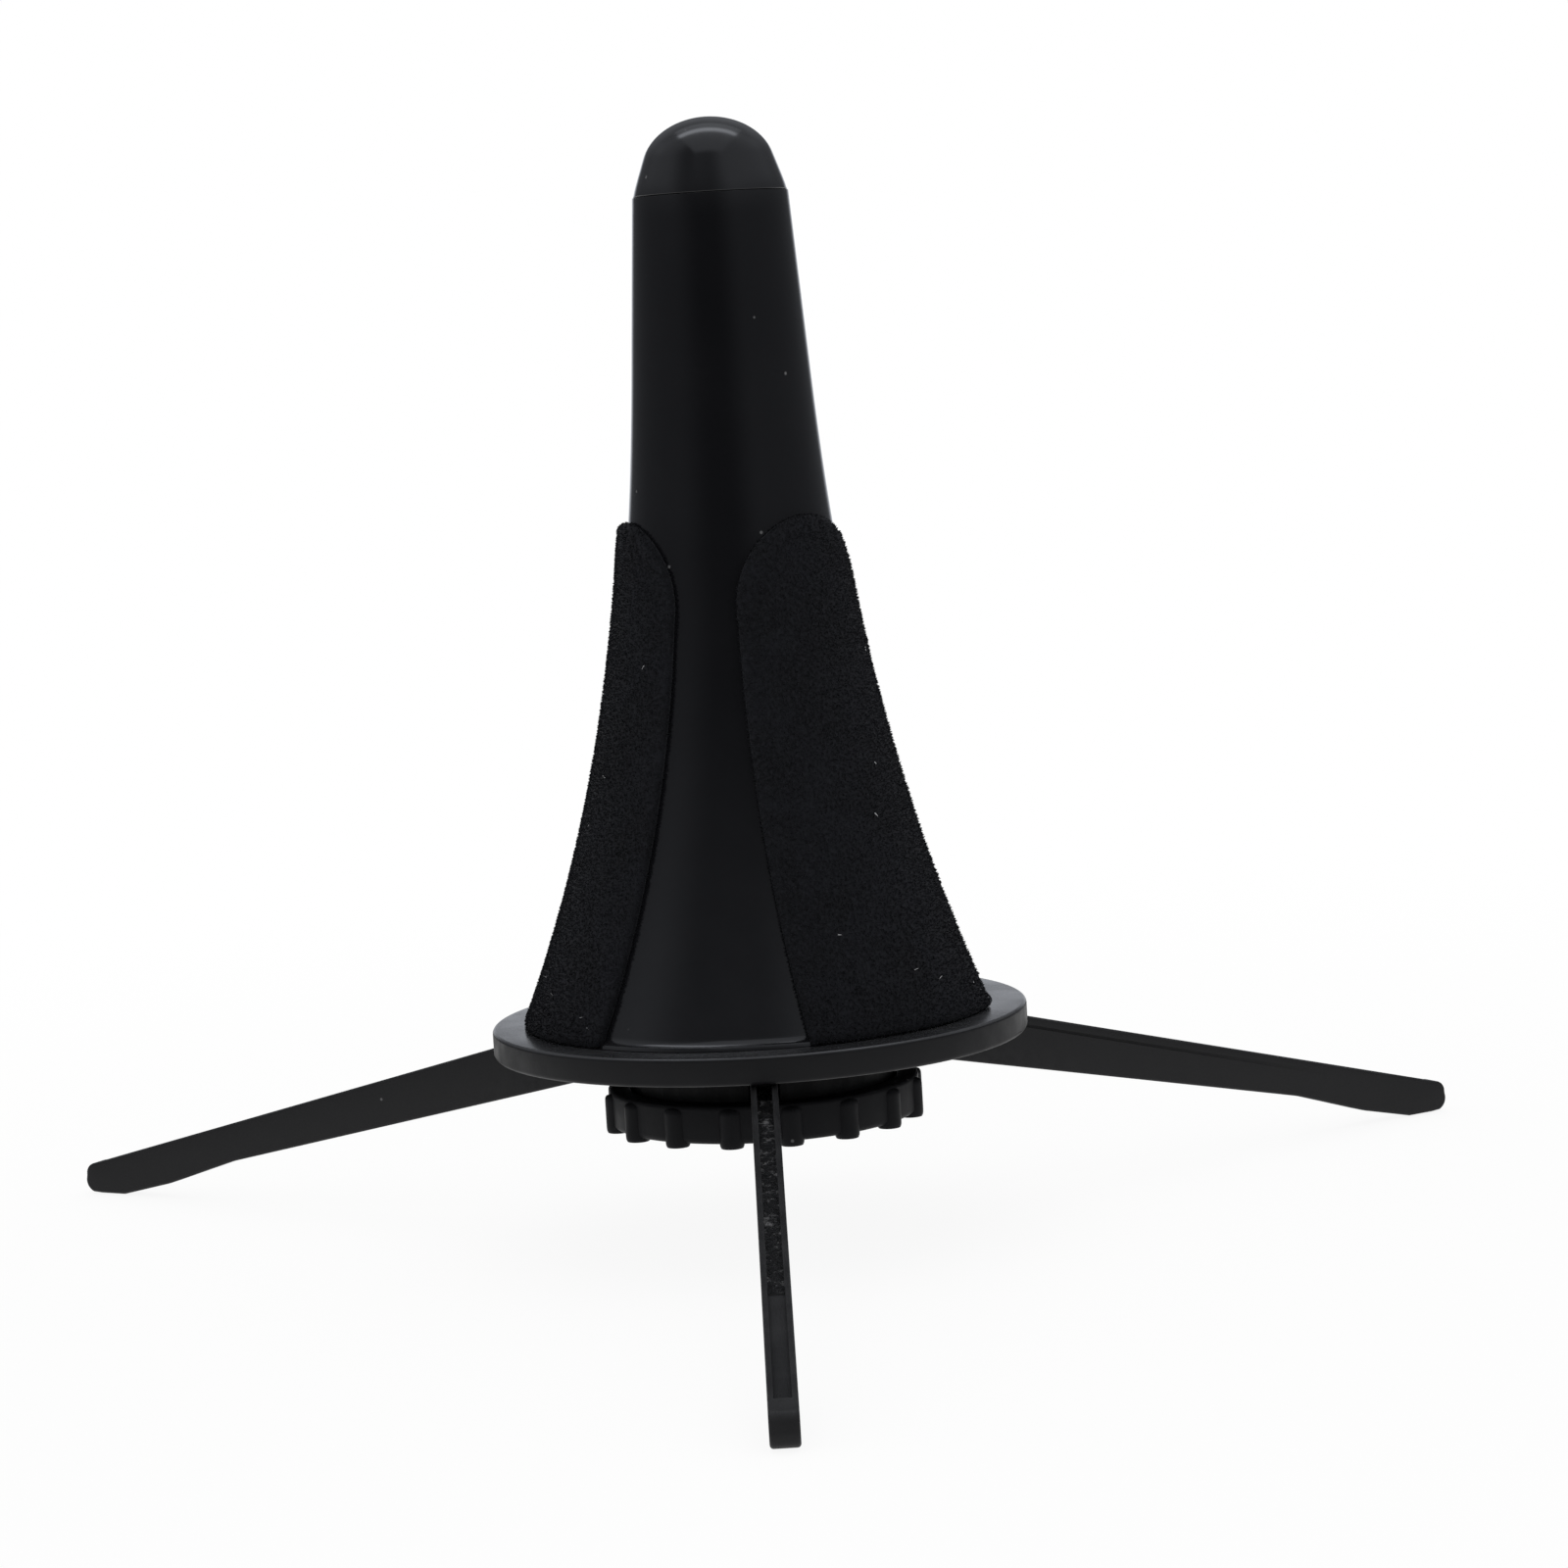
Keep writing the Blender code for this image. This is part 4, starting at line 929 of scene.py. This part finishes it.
def make_pads():
    """The three velvet pads with their pile."""
    pads = sizes("pads")
    for index, (place, turn) in enumerate(PAD_TURNS.items()):
        at = ON_FLANGE @ Matrix.Rotation(math.radians(turn), 4, "Z")
        pad = to_piece(pad_grid(index + 1), "velvet_pad_" + place, black_velvet(), at)
        pad.data.shade_smooth()
        grown(pad.name, velvet_pile(), {
            "Density": pads.pile_density, "Length": pads.pile_length, "Width": pads.pile_width,
            "Lint Density": pads.lint_density, "Seed": index + 3, "Material": black_velvet(),
            "Lint Material": pale_lint()}, source=pad)
        dress(pad, "peg", "velvet", "bell_pad_" + place)


def flange_profile():
    """Half section of the disc with its rim and locating ring."""
    flange = sizes("flange")
    plate_low, low = FLANGE_TOP - flange.plate, FLANGE_TOP - flange.rim_height
    inner, opening = flange.radius - flange.rim_wall, flange.opening
    ring, ring_inner = flange.ring_radius, flange.ring_radius - flange.ring_wall
    top, seat = FLANGE_TOP + flange.ring_height, FLANGE_TOP - flange.recess
    edge = sizes("peg").plinth_radius + flange.recess
    soft, corner, chamfer, break_edge = 0.0003, 0.0004, 0.0002, 0.00005
    profile = [(opening, plate_low + soft)]
    profile += arc((opening + soft, plate_low + soft), soft, 180, 270, 3)
    profile += arc((inner - corner, plate_low - corner), corner, 90, 0, 4)
    profile += [(inner, low + soft)] + arc((inner + soft, low + soft), soft, 180, 270, 3)
    profile += arc((flange.radius - flange.low_round, low + flange.low_round), flange.low_round, -90, 0, 8)
    top_round = flange.top_round
    profile += arc((flange.radius - top_round, FLANGE_TOP - top_round), top_round, 0, 90, 6)
    profile += [(edge + break_edge, FLANGE_TOP), (edge, FLANGE_TOP - break_edge), (edge, seat)]
    profile += [(ring, seat), (ring, top - chamfer), (ring - chamfer, top)]
    profile += [(ring_inner + chamfer, top), (ring_inner, top - chamfer), (ring_inner, seat)]
    return profile + arc((opening + soft, seat - soft), soft, 90, 180, 3)


def make_flange():
    """The disc with its rim, locating ring, webs, boss and locating pips."""
    flange = sizes("flange")
    disc = turned(flange_profile(), 192)
    outer, bore, soft, carrier_gap = flange.boss_radius, flange.bore_radius, 0.0003, 0.0003
    low = CARRIER_HIGH.z + carrier_gap
    top = low + flange.boss_height
    add_mesh(disc, turned([(bore, low), (outer - soft, low), (outer, low + soft), (outer, top - soft),
                           (outer - soft, top), (bore, top)], 96))
    half, lap, lap_out, web_round = flange.web_width / 2, 0.0004, 0.0005, 0.0004
    pip, pip_drop, pip_root = 0.0011, 0.0019, 0.0010
    for turn in WEB_TURNS:
        web = rounded_box((bore + lap, -half, low),
                          (flange.opening + lap_out, half, low + flange.web_height), web_round)
        peglet = turned([(0.0, low - pip_drop), (pip - soft, low - pip_drop), (pip, low - pip_drop + soft),
                         (pip, low + pip_root), (0.0, low + pip_root)], 24, closed=False)
        bmesh.ops.translate(peglet, verts=peglet.verts, vec=(sizes("legs").pivot_radius, 0, 0))
        add_mesh(web, peglet)
        bmesh.ops.rotate(web, verts=web.verts, cent=(0, 0, 0),
                         matrix=Matrix.Rotation(math.radians(turn), 3, "Z"))
        add_mesh(disc, web)
    piece = to_piece(disc, "flange", plastic("satin_moulding"), Matrix.Translation(AXIS), recalc=False)
    # The flange's top faces get a lighter copy of its moulding: painted light, with a real smoother finish
    piece.data.materials.append(plastic("seat_moulding"))
    slack = 0.0002
    for face in piece.data.polygons:
        beyond_ring = (face.center - AXIS).xy.length > flange.ring_radius + slack
        if beyond_ring and face.center.z > FLANGE_TOP - slack:
            face.material_index = 1
    smooth(piece, 38.0)
    dress(piece, "peg", "matte_plastic", "base_flange")


def make_knob():
    """The ribbed knob with the pocket for the clamp screw's head."""
    knob = sizes("knob")
    low, high = KNOB_LOW.z, KNOB_HIGH.z
    rim_top = CARRIER_LOW.z + 0.00185
    rim_inner, boss_radius, bore, soft, corner = 0.0175, 0.0069, 0.0032, 0.0003, 0.0004
    flat_start, flat_end, slope_end = 0.006, 0.012, 0.0135
    edge, floor_top = low + knob.rib_foot, low + knob.floor
    profile = [(bore, low), (flat_start, low), (flat_end, low), (slope_end, edge)]
    profile += arc((knob.radius - knob.low_round, edge + knob.low_round), knob.low_round, -90, 0, 10)
    profile += arc((knob.radius - knob.top_round, rim_top - knob.top_round), knob.top_round, 0, 90, 5)
    profile += arc((rim_inner + soft, rim_top - soft), soft, 90, 180, 3)
    profile += [(rim_inner, floor_top + corner), (rim_inner - corner, floor_top)]
    profile += [(boss_radius, floor_top), (boss_radius, high), (bore, high)]
    piece = to_piece(turned(profile, 192), "knob_grip", plastic("knob_moulding"), Matrix.Translation(AXIS))
    pocket = bmesh.new()
    radius = knob.hex_width / 2 / math.cos(math.radians(30))
    deep, below = 0.0037, 0.001
    bmesh.ops.create_cone(
        pocket, cap_ends=True, segments=6, radius1=radius, radius2=radius, depth=deep + below,
        matrix=Matrix.Translation((0, AXIS.y, low + (deep - below) / 2)))
    cut(piece, [to_piece(pocket, "pocket")])
    ribs = grown("ribs", grip_ribs(), {
        "Count": knob.ribs, "Circle Radius": knob.radius + knob.rib_proud - knob.rib_radius,
        "Rib Radius": knob.rib_radius, "Low": low, "High": rim_top - soft,
        "First Turn": knob.first_rib, "Axis Y": AXIS.y, "Material": plastic("knob_moulding")})
    cut(piece, [ribs], "UNION")
    smooth(piece, 40.0)
    dress(piece, "knob", "knob_plastic", "clamp_knob")


def leg_line():
    """Slope of a leg's top edge, where it bends at the root, and where the toe starts."""
    leg, flange = sizes("legs"), sizes("flange")
    rim_radius = flange.radius - flange.rim_wall
    rim_height = FLANGE_TOP - flange.rim_height - RIM_GAP
    toe = leg.reach - NOSE
    slope = (rim_height - leg.toe_top) / (toe - rim_radius)
    bend = rim_radius - (leg.pivot_height + leg.root_depth / 2 - rim_height) / slope
    return slope, bend, toe


def leg_top(radius):
    """Height of a leg's top edge."""
    slope, _, toe = leg_line()
    return sizes("legs").toe_top + slope * (toe - radius)


def leg_outline():
    """Side view of a leg in (distance from the axis, height)."""
    leg, rim = sizes("legs"), sizes("flange").radius
    _, bend, toe = leg_line()
    root_low = leg.pivot_height - leg.root_depth / 2
    kink, heel, sole = leg.reach - leg.foot_length, leg.reach - leg.heel, leg.reach - leg.sole
    kink_low = leg_top(kink) - leg.kink_depth
    rim_low = leg_top(rim) - leg.rim_depth
    under = (rim_low - kink_low) / (kink - rim)
    under_bend = rim - (root_low - rim_low) / under
    before, around, toe_round = 0.0012, 0.0008, 0.0016
    kink_step, heel_rise, heel_drop, nose_back = 0.00006, 0.00022, 0.00018, 0.0001
    points = [(bend, leg.pivot_height + leg.root_depth / 2)]
    points += arc((leg.pivot_radius, leg.pivot_height), leg.root_depth / 2, 90, 270, 20)
    points += [(under_bend, root_low), (kink - before, kink_low + before * under)]
    points += [(kink, kink_low - kink_step), (heel - around, leg.heel_lift + heel_rise)]
    points += [(heel, leg.heel_lift), (heel + around, leg.heel_lift - heel_drop)]
    points += [(sole, 0.0), (sole + leg.sole_length, 0.0)]
    points += arc((leg.reach - NOSE - nose_back, NOSE), NOSE, -70, 20, 8)
    return points + arc((toe, leg.toe_top - toe_round), toe_round, 15, 90, 7)


def channel_outline():
    """Side view of the coarse channel in the top edge."""
    leg = sizes("legs")
    start, end = leg.channel_start, leg.reach - leg.foot_length
    low_start, low_end = leg_top(start) - leg.channel_depth, leg_top(end) - leg.channel_depth
    run_out, over = leg.channel_depth * 2.0, leg.channel_depth * 1.5
    fall = (low_start - low_end) / (end - start)
    return [(start, low_start), (end - run_out, low_end + run_out * fall), (end, low_end + over),
            (start, low_start + over + leg.channel_depth)]


def foot_channel_outline():
    """Side view of the shallow smooth channel in the top of the foot."""
    leg = sizes("legs")
    lap, deep = 0.0030, leg.foot_channel
    start, end = leg.reach - leg.foot_length - lap, leg.reach - leg.foot_gap
    return [(start + deep, leg_top(start) - deep), (end - deep * 0.5, leg_top(end) - deep),
            (end, leg_top(end) + deep), (start, leg_top(start) + deep)]


def side_line():
    """The fine line along one side of a leg, under its top edge, which runs out at the foot."""
    leg = sizes("legs")
    early, late, fade_share, end_share = 0.002, 0.004, 0.45, 0.97
    start, end = leg.channel_start - early, leg.reach - leg.foot_length + late
    fade = start + (end - start) * fade_share
    upper, lower = leg.line_width / 2 - leg.line_drop, -leg.line_width / 2 - leg.line_drop
    points = [(at, leg_top(at) + lower) for at in (start, fade, end)]
    points += [(at, leg_top(at) + upper) for at in (end, fade, start)]
    mesh = extruded(points, leg.line_depth * 2)
    bmesh.ops.translate(mesh, verts=mesh.verts, vec=(0, -leg.thickness / 2, 0))
    last = [vert for vert in mesh.verts if vert.co.x > end - 0.0001]
    bmesh.ops.translate(mesh, verts=last, vec=(0, -leg.line_depth * end_share, 0))
    return mesh


def make_legs():
    """The three bar legs with rounded edges, channels, side line and eye."""
    leg = sizes("legs")
    for place, turn in LEG_TURNS.items():
        piece = to_piece(extruded(leg_outline(), leg.thickness), "bar_leg_" + place, leg_moulding())
        bevel(piece, leg.edge_round)
        eye = bmesh.new()
        bmesh.ops.create_cone(
            eye, cap_ends=True, segments=40, radius1=leg.pin_bore, radius2=leg.pin_bore,
            depth=leg.thickness * 2, matrix=Matrix.Translation((leg.pivot_radius, 0, leg.pivot_height))
            @ Matrix.Rotation(math.pi / 2, 4, "X"))
        tools = {"channel": extruded(channel_outline(), leg.channel_width), "eye": eye,
                 "foot_channel": extruded(foot_channel_outline(), leg.foot_channel_width),
                 "side_line": side_line()}
        cut(piece, [to_piece(mesh, name) for name, mesh in tools.items()])
        mark_channel(piece)
        piece.data.transform(Matrix.Translation(AXIS) @ Matrix.Rotation(math.radians(turn), 4, "Z"))
        smooth(piece, 35.0)
        dress(piece, place + "_leg", "matte_plastic", "leg_" + place)


def mark_channel(piece):
    """Marks the floor of the channel for the coarse finish."""
    leg = sizes("legs")
    mesh = bmesh.new()
    mesh.from_mesh(piece.data)
    bmesh.ops.triangulate(mesh, faces=[face for face in mesh.faces if len(face.verts) > 4])
    layer = mesh.faces.layers.float.new("channel")
    slack = 0.00002
    half = leg.channel_width / 2 + slack
    end = leg.reach - leg.foot_length - 0.0005
    for face in mesh.faces:
        middle = face.calc_center_median()
        inside = abs(middle.y) < half and all(abs(vert.co.y) < half + slack for vert in face.verts)
        under = middle.z < leg_top(middle.x) - 0.0002 and face.normal.z > 0.2
        face[layer] = 1.0 if inside and under and leg.channel_start < middle.x < end else 0.0
    mesh.to_mesh(piece.data)
    mesh.free()


# Stage

def in_sight(net):
    """1 for rays that see things, straight or by reflection, and 1 for the camera's own."""
    camera, glossy, through = net.outs(
        "ShaderNodeLightPath", None, "Is Camera Ray", "Is Glossy Ray", "Is Transmission Ray")
    return camera.math("MAXIMUM", glossy).math("MAXIMUM", through), camera


def world_light():
    """White behind everything that the camera and reflections see, and plain fill light for the rest."""
    level = sizes("stage").fill_level
    world = bpy.data.worlds.new("studio")
    world.use_nodes = True
    net = Net(world.node_tree)
    background = world.node_tree.nodes["Background"]
    background.inputs["Color"].default_value = WHITE
    net.feed(background.inputs["Strength"], in_sight(net)[0] * (1.0 - level) + level)
    bpy.context.scene.world = world


def tent_level(net, direction):
    """Brightness of the tent in a direction: dim walls, dark front, ceiling softbox, bright back."""
    x, y, z = net.split(direction)
    turn = x.math("ARCTAN2", y * -1.0) * DEGREES
    height = z.math("ARCSINE") * DEGREES
    around = turn.math("ABSOLUTE")
    rise = height.ramp(8.0, 38.0)
    lean = rise * -24.0
    left = turn.ramp(lean - 58.0, lean - 16.0, 1.0, 0.0)
    right = turn.ramp(2.0, 40.0)
    back = around.ramp(112.0, 140.0)
    walls = right * 0.112 + (left * 0.100 + 0.016)
    walls = rise * 0.105 + walls * (rise * (back * -1.4 + 1.9) + 1.0)
    steep = z.math("MAXIMUM", 0.001)
    across, along = x / steep, y / steep
    front, rear = along.ramp(-1.05, -0.75), along.ramp(0.72, 0.80, 1.0, 0.0)
    ceiling = across.between(-0.48, 0.55, 0.03) * front * rear
    bar = across.between(-0.50, 0.54, 0.03) * along.between(0.20, 0.40, 0.05)
    level = bar * 2.0 + ceiling.pick(walls, 0.64)
    opening = around.ramp(150.0, 166.0) * height.ramp(8.0, 14.0, 1.0, 0.0)
    return level.math("MAXIMUM", opening * 0.85)


@material
def tent_cloth(net, shader):
    """The tent's own glow, slightly cool."""
    net.tree.nodes.remove(shader)
    inward = net.out("ShaderNodeVectorMath", {0: net.place(), 1: TENT_MIDDLE}, operation="SUBTRACT")
    direction = net.out("ShaderNodeVectorMath", {0: inward}, operation="NORMALIZE")
    glow = net.out("ShaderNodeEmission", {
        "Color": TENT_TINT, "Strength": tent_level(net, direction) * TENT_GAIN})
    net.feed(net.tree.nodes["Material Output"].inputs["Surface"], glow)


def make_tent():
    """The studio tent that only reflections see: it shapes the gleams on the glossy plastic."""
    mesh = bmesh.new()
    radius, bottom = 1.6, -0.16
    bmesh.ops.create_uvsphere(mesh, u_segments=64, v_segments=32, radius=radius)
    low = [vert for vert in mesh.verts if vert.co.z < bottom]
    bmesh.ops.delete(mesh, geom=low, context="VERTS")
    bmesh.ops.reverse_faces(mesh, faces=mesh.faces)
    tent = to_piece(mesh, "tent", tent_cloth(), Matrix.Translation(TENT_MIDDLE), recalc=False)
    tent.data.shade_smooth()
    tent_cloth().cycles.emission_sampling = "NONE"
    for rays in ("camera", "diffuse", "transmission", "volume_scatter", "shadow"):
        setattr(tent, "visible_" + rays, False)


@material
def pale_floor(net, shader):
    """Plain white to the eye but for the shadow near the stand, and clear when seen from below."""
    net.tree.nodes.remove(shader)
    base = sizes("finish").floor
    place = net.place()
    tint = net.mix(net.noise(place, 40.0, 3.0), shade(base, 0.99), shade(base))
    diffuse = net.out("ShaderNodeBsdfDiffuse", {"Color": tint})
    white = net.out("ShaderNodeEmission", {"Color": WHITE, "Strength": 1.0})
    seen, camera = in_sight(net)
    far = net.out("ShaderNodeVectorMath", {0: place}, "Value", operation="LENGTH")
    surface = net.blend(seen * far.ramp(0.10, 0.42, 0.90, 1.0), diffuse, white)
    upward = net.split(net.out("ShaderNodeNewGeometry", output="Incoming"))[2]
    clear = net.out("ShaderNodeBsdfTransparent")
    whole = net.blend((upward < 0.0) * camera, surface, clear)
    net.feed(net.tree.nodes["Material Output"].inputs["Surface"], whole)


def make_floor():
    """A wide pale floor that keeps the shadow near the stand and melts into the background."""
    mesh = bmesh.new()
    bmesh.ops.create_circle(mesh, cap_ends=True, segments=96, radius=4.0)
    bmesh.ops.poke(mesh, faces=mesh.faces[:])
    under_soles = Matrix.Translation((0, 0, -0.0002))
    floor = to_piece(mesh, "floor", pale_floor(), under_soles)


def softbox(name, place, target, width, height, level):
    """An area lamp of a given brightness, aimed at a point."""
    light = bpy.data.lights.new(name, "AREA")
    light.shape = "RECTANGLE"
    light.size, light.size_y = width, height
    light.energy = level * math.pi * width * height
    made = bpy.data.objects.new(name, light)
    made.location = place
    made.rotation_euler = (Vector(target) - Vector(place)).to_track_quat("-Z", "Y").to_euler()
    made.visible_glossy = False
    bpy.context.scene.collection.objects.link(made)


def make_lamps():
    """Softboxes at the left, at the right and overhead."""
    stage = sizes("stage")
    middle = (0.0, AXIS.y, 0.07)
    softbox("left_softbox", (-0.95, -0.15, 0.35), middle, 1.2, 0.9, stage.side_level)
    softbox("right_softbox", (0.95, -0.15, 0.35), middle, 1.2, 0.9, stage.side_level)
    softbox("top_softbox", (0.05, 0.25, 1.05), middle, 1.1, 1.6, stage.top_level)


def make_camera():
    """The camera at the photographed angle."""
    stage = sizes("stage")
    level = math.cos(stage.pitch)
    forward = Vector((math.sin(stage.yaw) * level, math.cos(stage.yaw) * level, -math.sin(stage.pitch)))
    right = Vector((math.cos(stage.yaw), -math.sin(stage.yaw), 0.0))
    up = right.cross(forward)
    turned_right = math.cos(stage.roll) * right + math.sin(stage.roll) * up
    turned_up = math.cos(stage.roll) * up - math.sin(stage.roll) * right
    data = bpy.data.cameras.new("camera")
    data.sensor_width = 36.0
    data.lens = stage.lens
    data.clip_start, data.clip_end = 0.01, 50.0
    camera = bpy.data.objects.new("camera", data)
    eye = Matrix.Translation((0.0, AXIS.y - stage.distance, FLANGE_TOP + stage.eye_height))
    camera.matrix_world = eye @ Matrix((turned_right, turned_up, -forward)).transposed().to_4x4()
    bpy.context.scene.collection.objects.link(camera)
    bpy.context.scene.camera = camera


def make_stage():
    """The background, the floor, the tent, the lamps and the camera."""
    bpy.context.scene.view_settings.view_transform = "Standard"
    world_light()
    make_floor()
    make_tent()
    make_lamps()
    make_camera()


def finish_fittings():
    """Finishes of the carrier, the pins, the screws and the insert."""
    # The carrier gets the darker finish, as painted shade under the flange
    paint("leg_carrier", plastic("carrier_moulding"))
    for node in STEEL_NODES:
        paint(node, metal("zinc_plate"))
    paint("thread_insert", metal("turned_brass"))


# Operators

class Step:
    """Runs the maker of one group of pieces."""

    def execute(self, context):
        self.make()
        return {"FINISHED"}


class STAND_OT_stage(Step, bpy.types.Operator):
    """Makes the floor, the lamps, the background and the camera"""
    bl_idname, bl_label = "stand.stage", "Stage"
    make = staticmethod(make_stage)


class STAND_OT_cone(Step, bpy.types.Operator):
    """Makes the hollow cone"""
    bl_idname, bl_label = "stand.cone", "Cone"
    make = staticmethod(make_cone)


class STAND_OT_dome(Step, bpy.types.Operator):
    """Makes the domed cap"""
    bl_idname, bl_label = "stand.dome", "Dome"
    make = staticmethod(make_dome)


class STAND_OT_pads(Step, bpy.types.Operator):
    """Makes the velvet pads"""
    bl_idname, bl_label = "stand.pads", "Velvet pads"
    make = staticmethod(make_pads)


class STAND_OT_flange(Step, bpy.types.Operator):
    """Makes the flange under the cone"""
    bl_idname, bl_label = "stand.flange", "Flange"
    make = staticmethod(make_flange)


class STAND_OT_knob(Step, bpy.types.Operator):
    """Makes the ribbed knob"""
    bl_idname, bl_label = "stand.knob", "Knob"
    make = staticmethod(make_knob)


class STAND_OT_legs(Step, bpy.types.Operator):
    """Makes the three legs"""
    bl_idname, bl_label = "stand.legs", "Legs"
    make = staticmethod(make_legs)


class STAND_OT_fittings(Step, bpy.types.Operator):
    """Finishes the carrier, the pins, the screws and the insert"""
    bl_idname, bl_label = "stand.fittings", "Carrier and fittings"
    make = staticmethod(finish_fittings)


STEPS = (STAND_OT_stage, STAND_OT_cone, STAND_OT_dome, STAND_OT_pads, STAND_OT_flange, STAND_OT_knob,
         STAND_OT_legs, STAND_OT_fittings)


class VIEW3D_PT_stand(bpy.types.Panel):
    """Buttons that make the stand's pieces, and their sizes"""
    bl_label = "Clarinet stand"
    bl_idname = "VIEW3D_PT_stand"
    bl_space_type = "VIEW_3D"
    bl_region_type = "UI"
    bl_category = "Stand"

    def draw(self, context):
        layout = self.layout
        for step in STEPS:
            layout.operator(step.bl_idname)
        for name, group in GROUPS.items():
            box = layout.box()
            box.label(text=group.__doc__)
            for prop in group.__annotations__:
                box.prop(getattr(context.scene, name), prop, text=prop.replace("_", " ").capitalize())


def register():
    for kind in (*GROUPS.values(), *STEPS, VIEW3D_PT_stand):
        bpy.utils.register_class(kind)
    for name, group in GROUPS.items():
        setattr(bpy.types.Scene, name, PointerProperty(type=group))


def unregister():
    for name in GROUPS:
        delattr(bpy.types.Scene, name)
    for kind in (VIEW3D_PT_stand, *STEPS, *GROUPS.values()):
        bpy.utils.unregister_class(kind)


def main():
    register()
    bpy.ops.stand.stage()
    bpy.ops.stand.cone()
    bpy.ops.stand.dome()
    bpy.ops.stand.pads()
    bpy.ops.stand.flange()
    bpy.ops.stand.knob()
    bpy.ops.stand.legs()
    bpy.ops.stand.fittings()


if __name__ == "__main__":
    main()
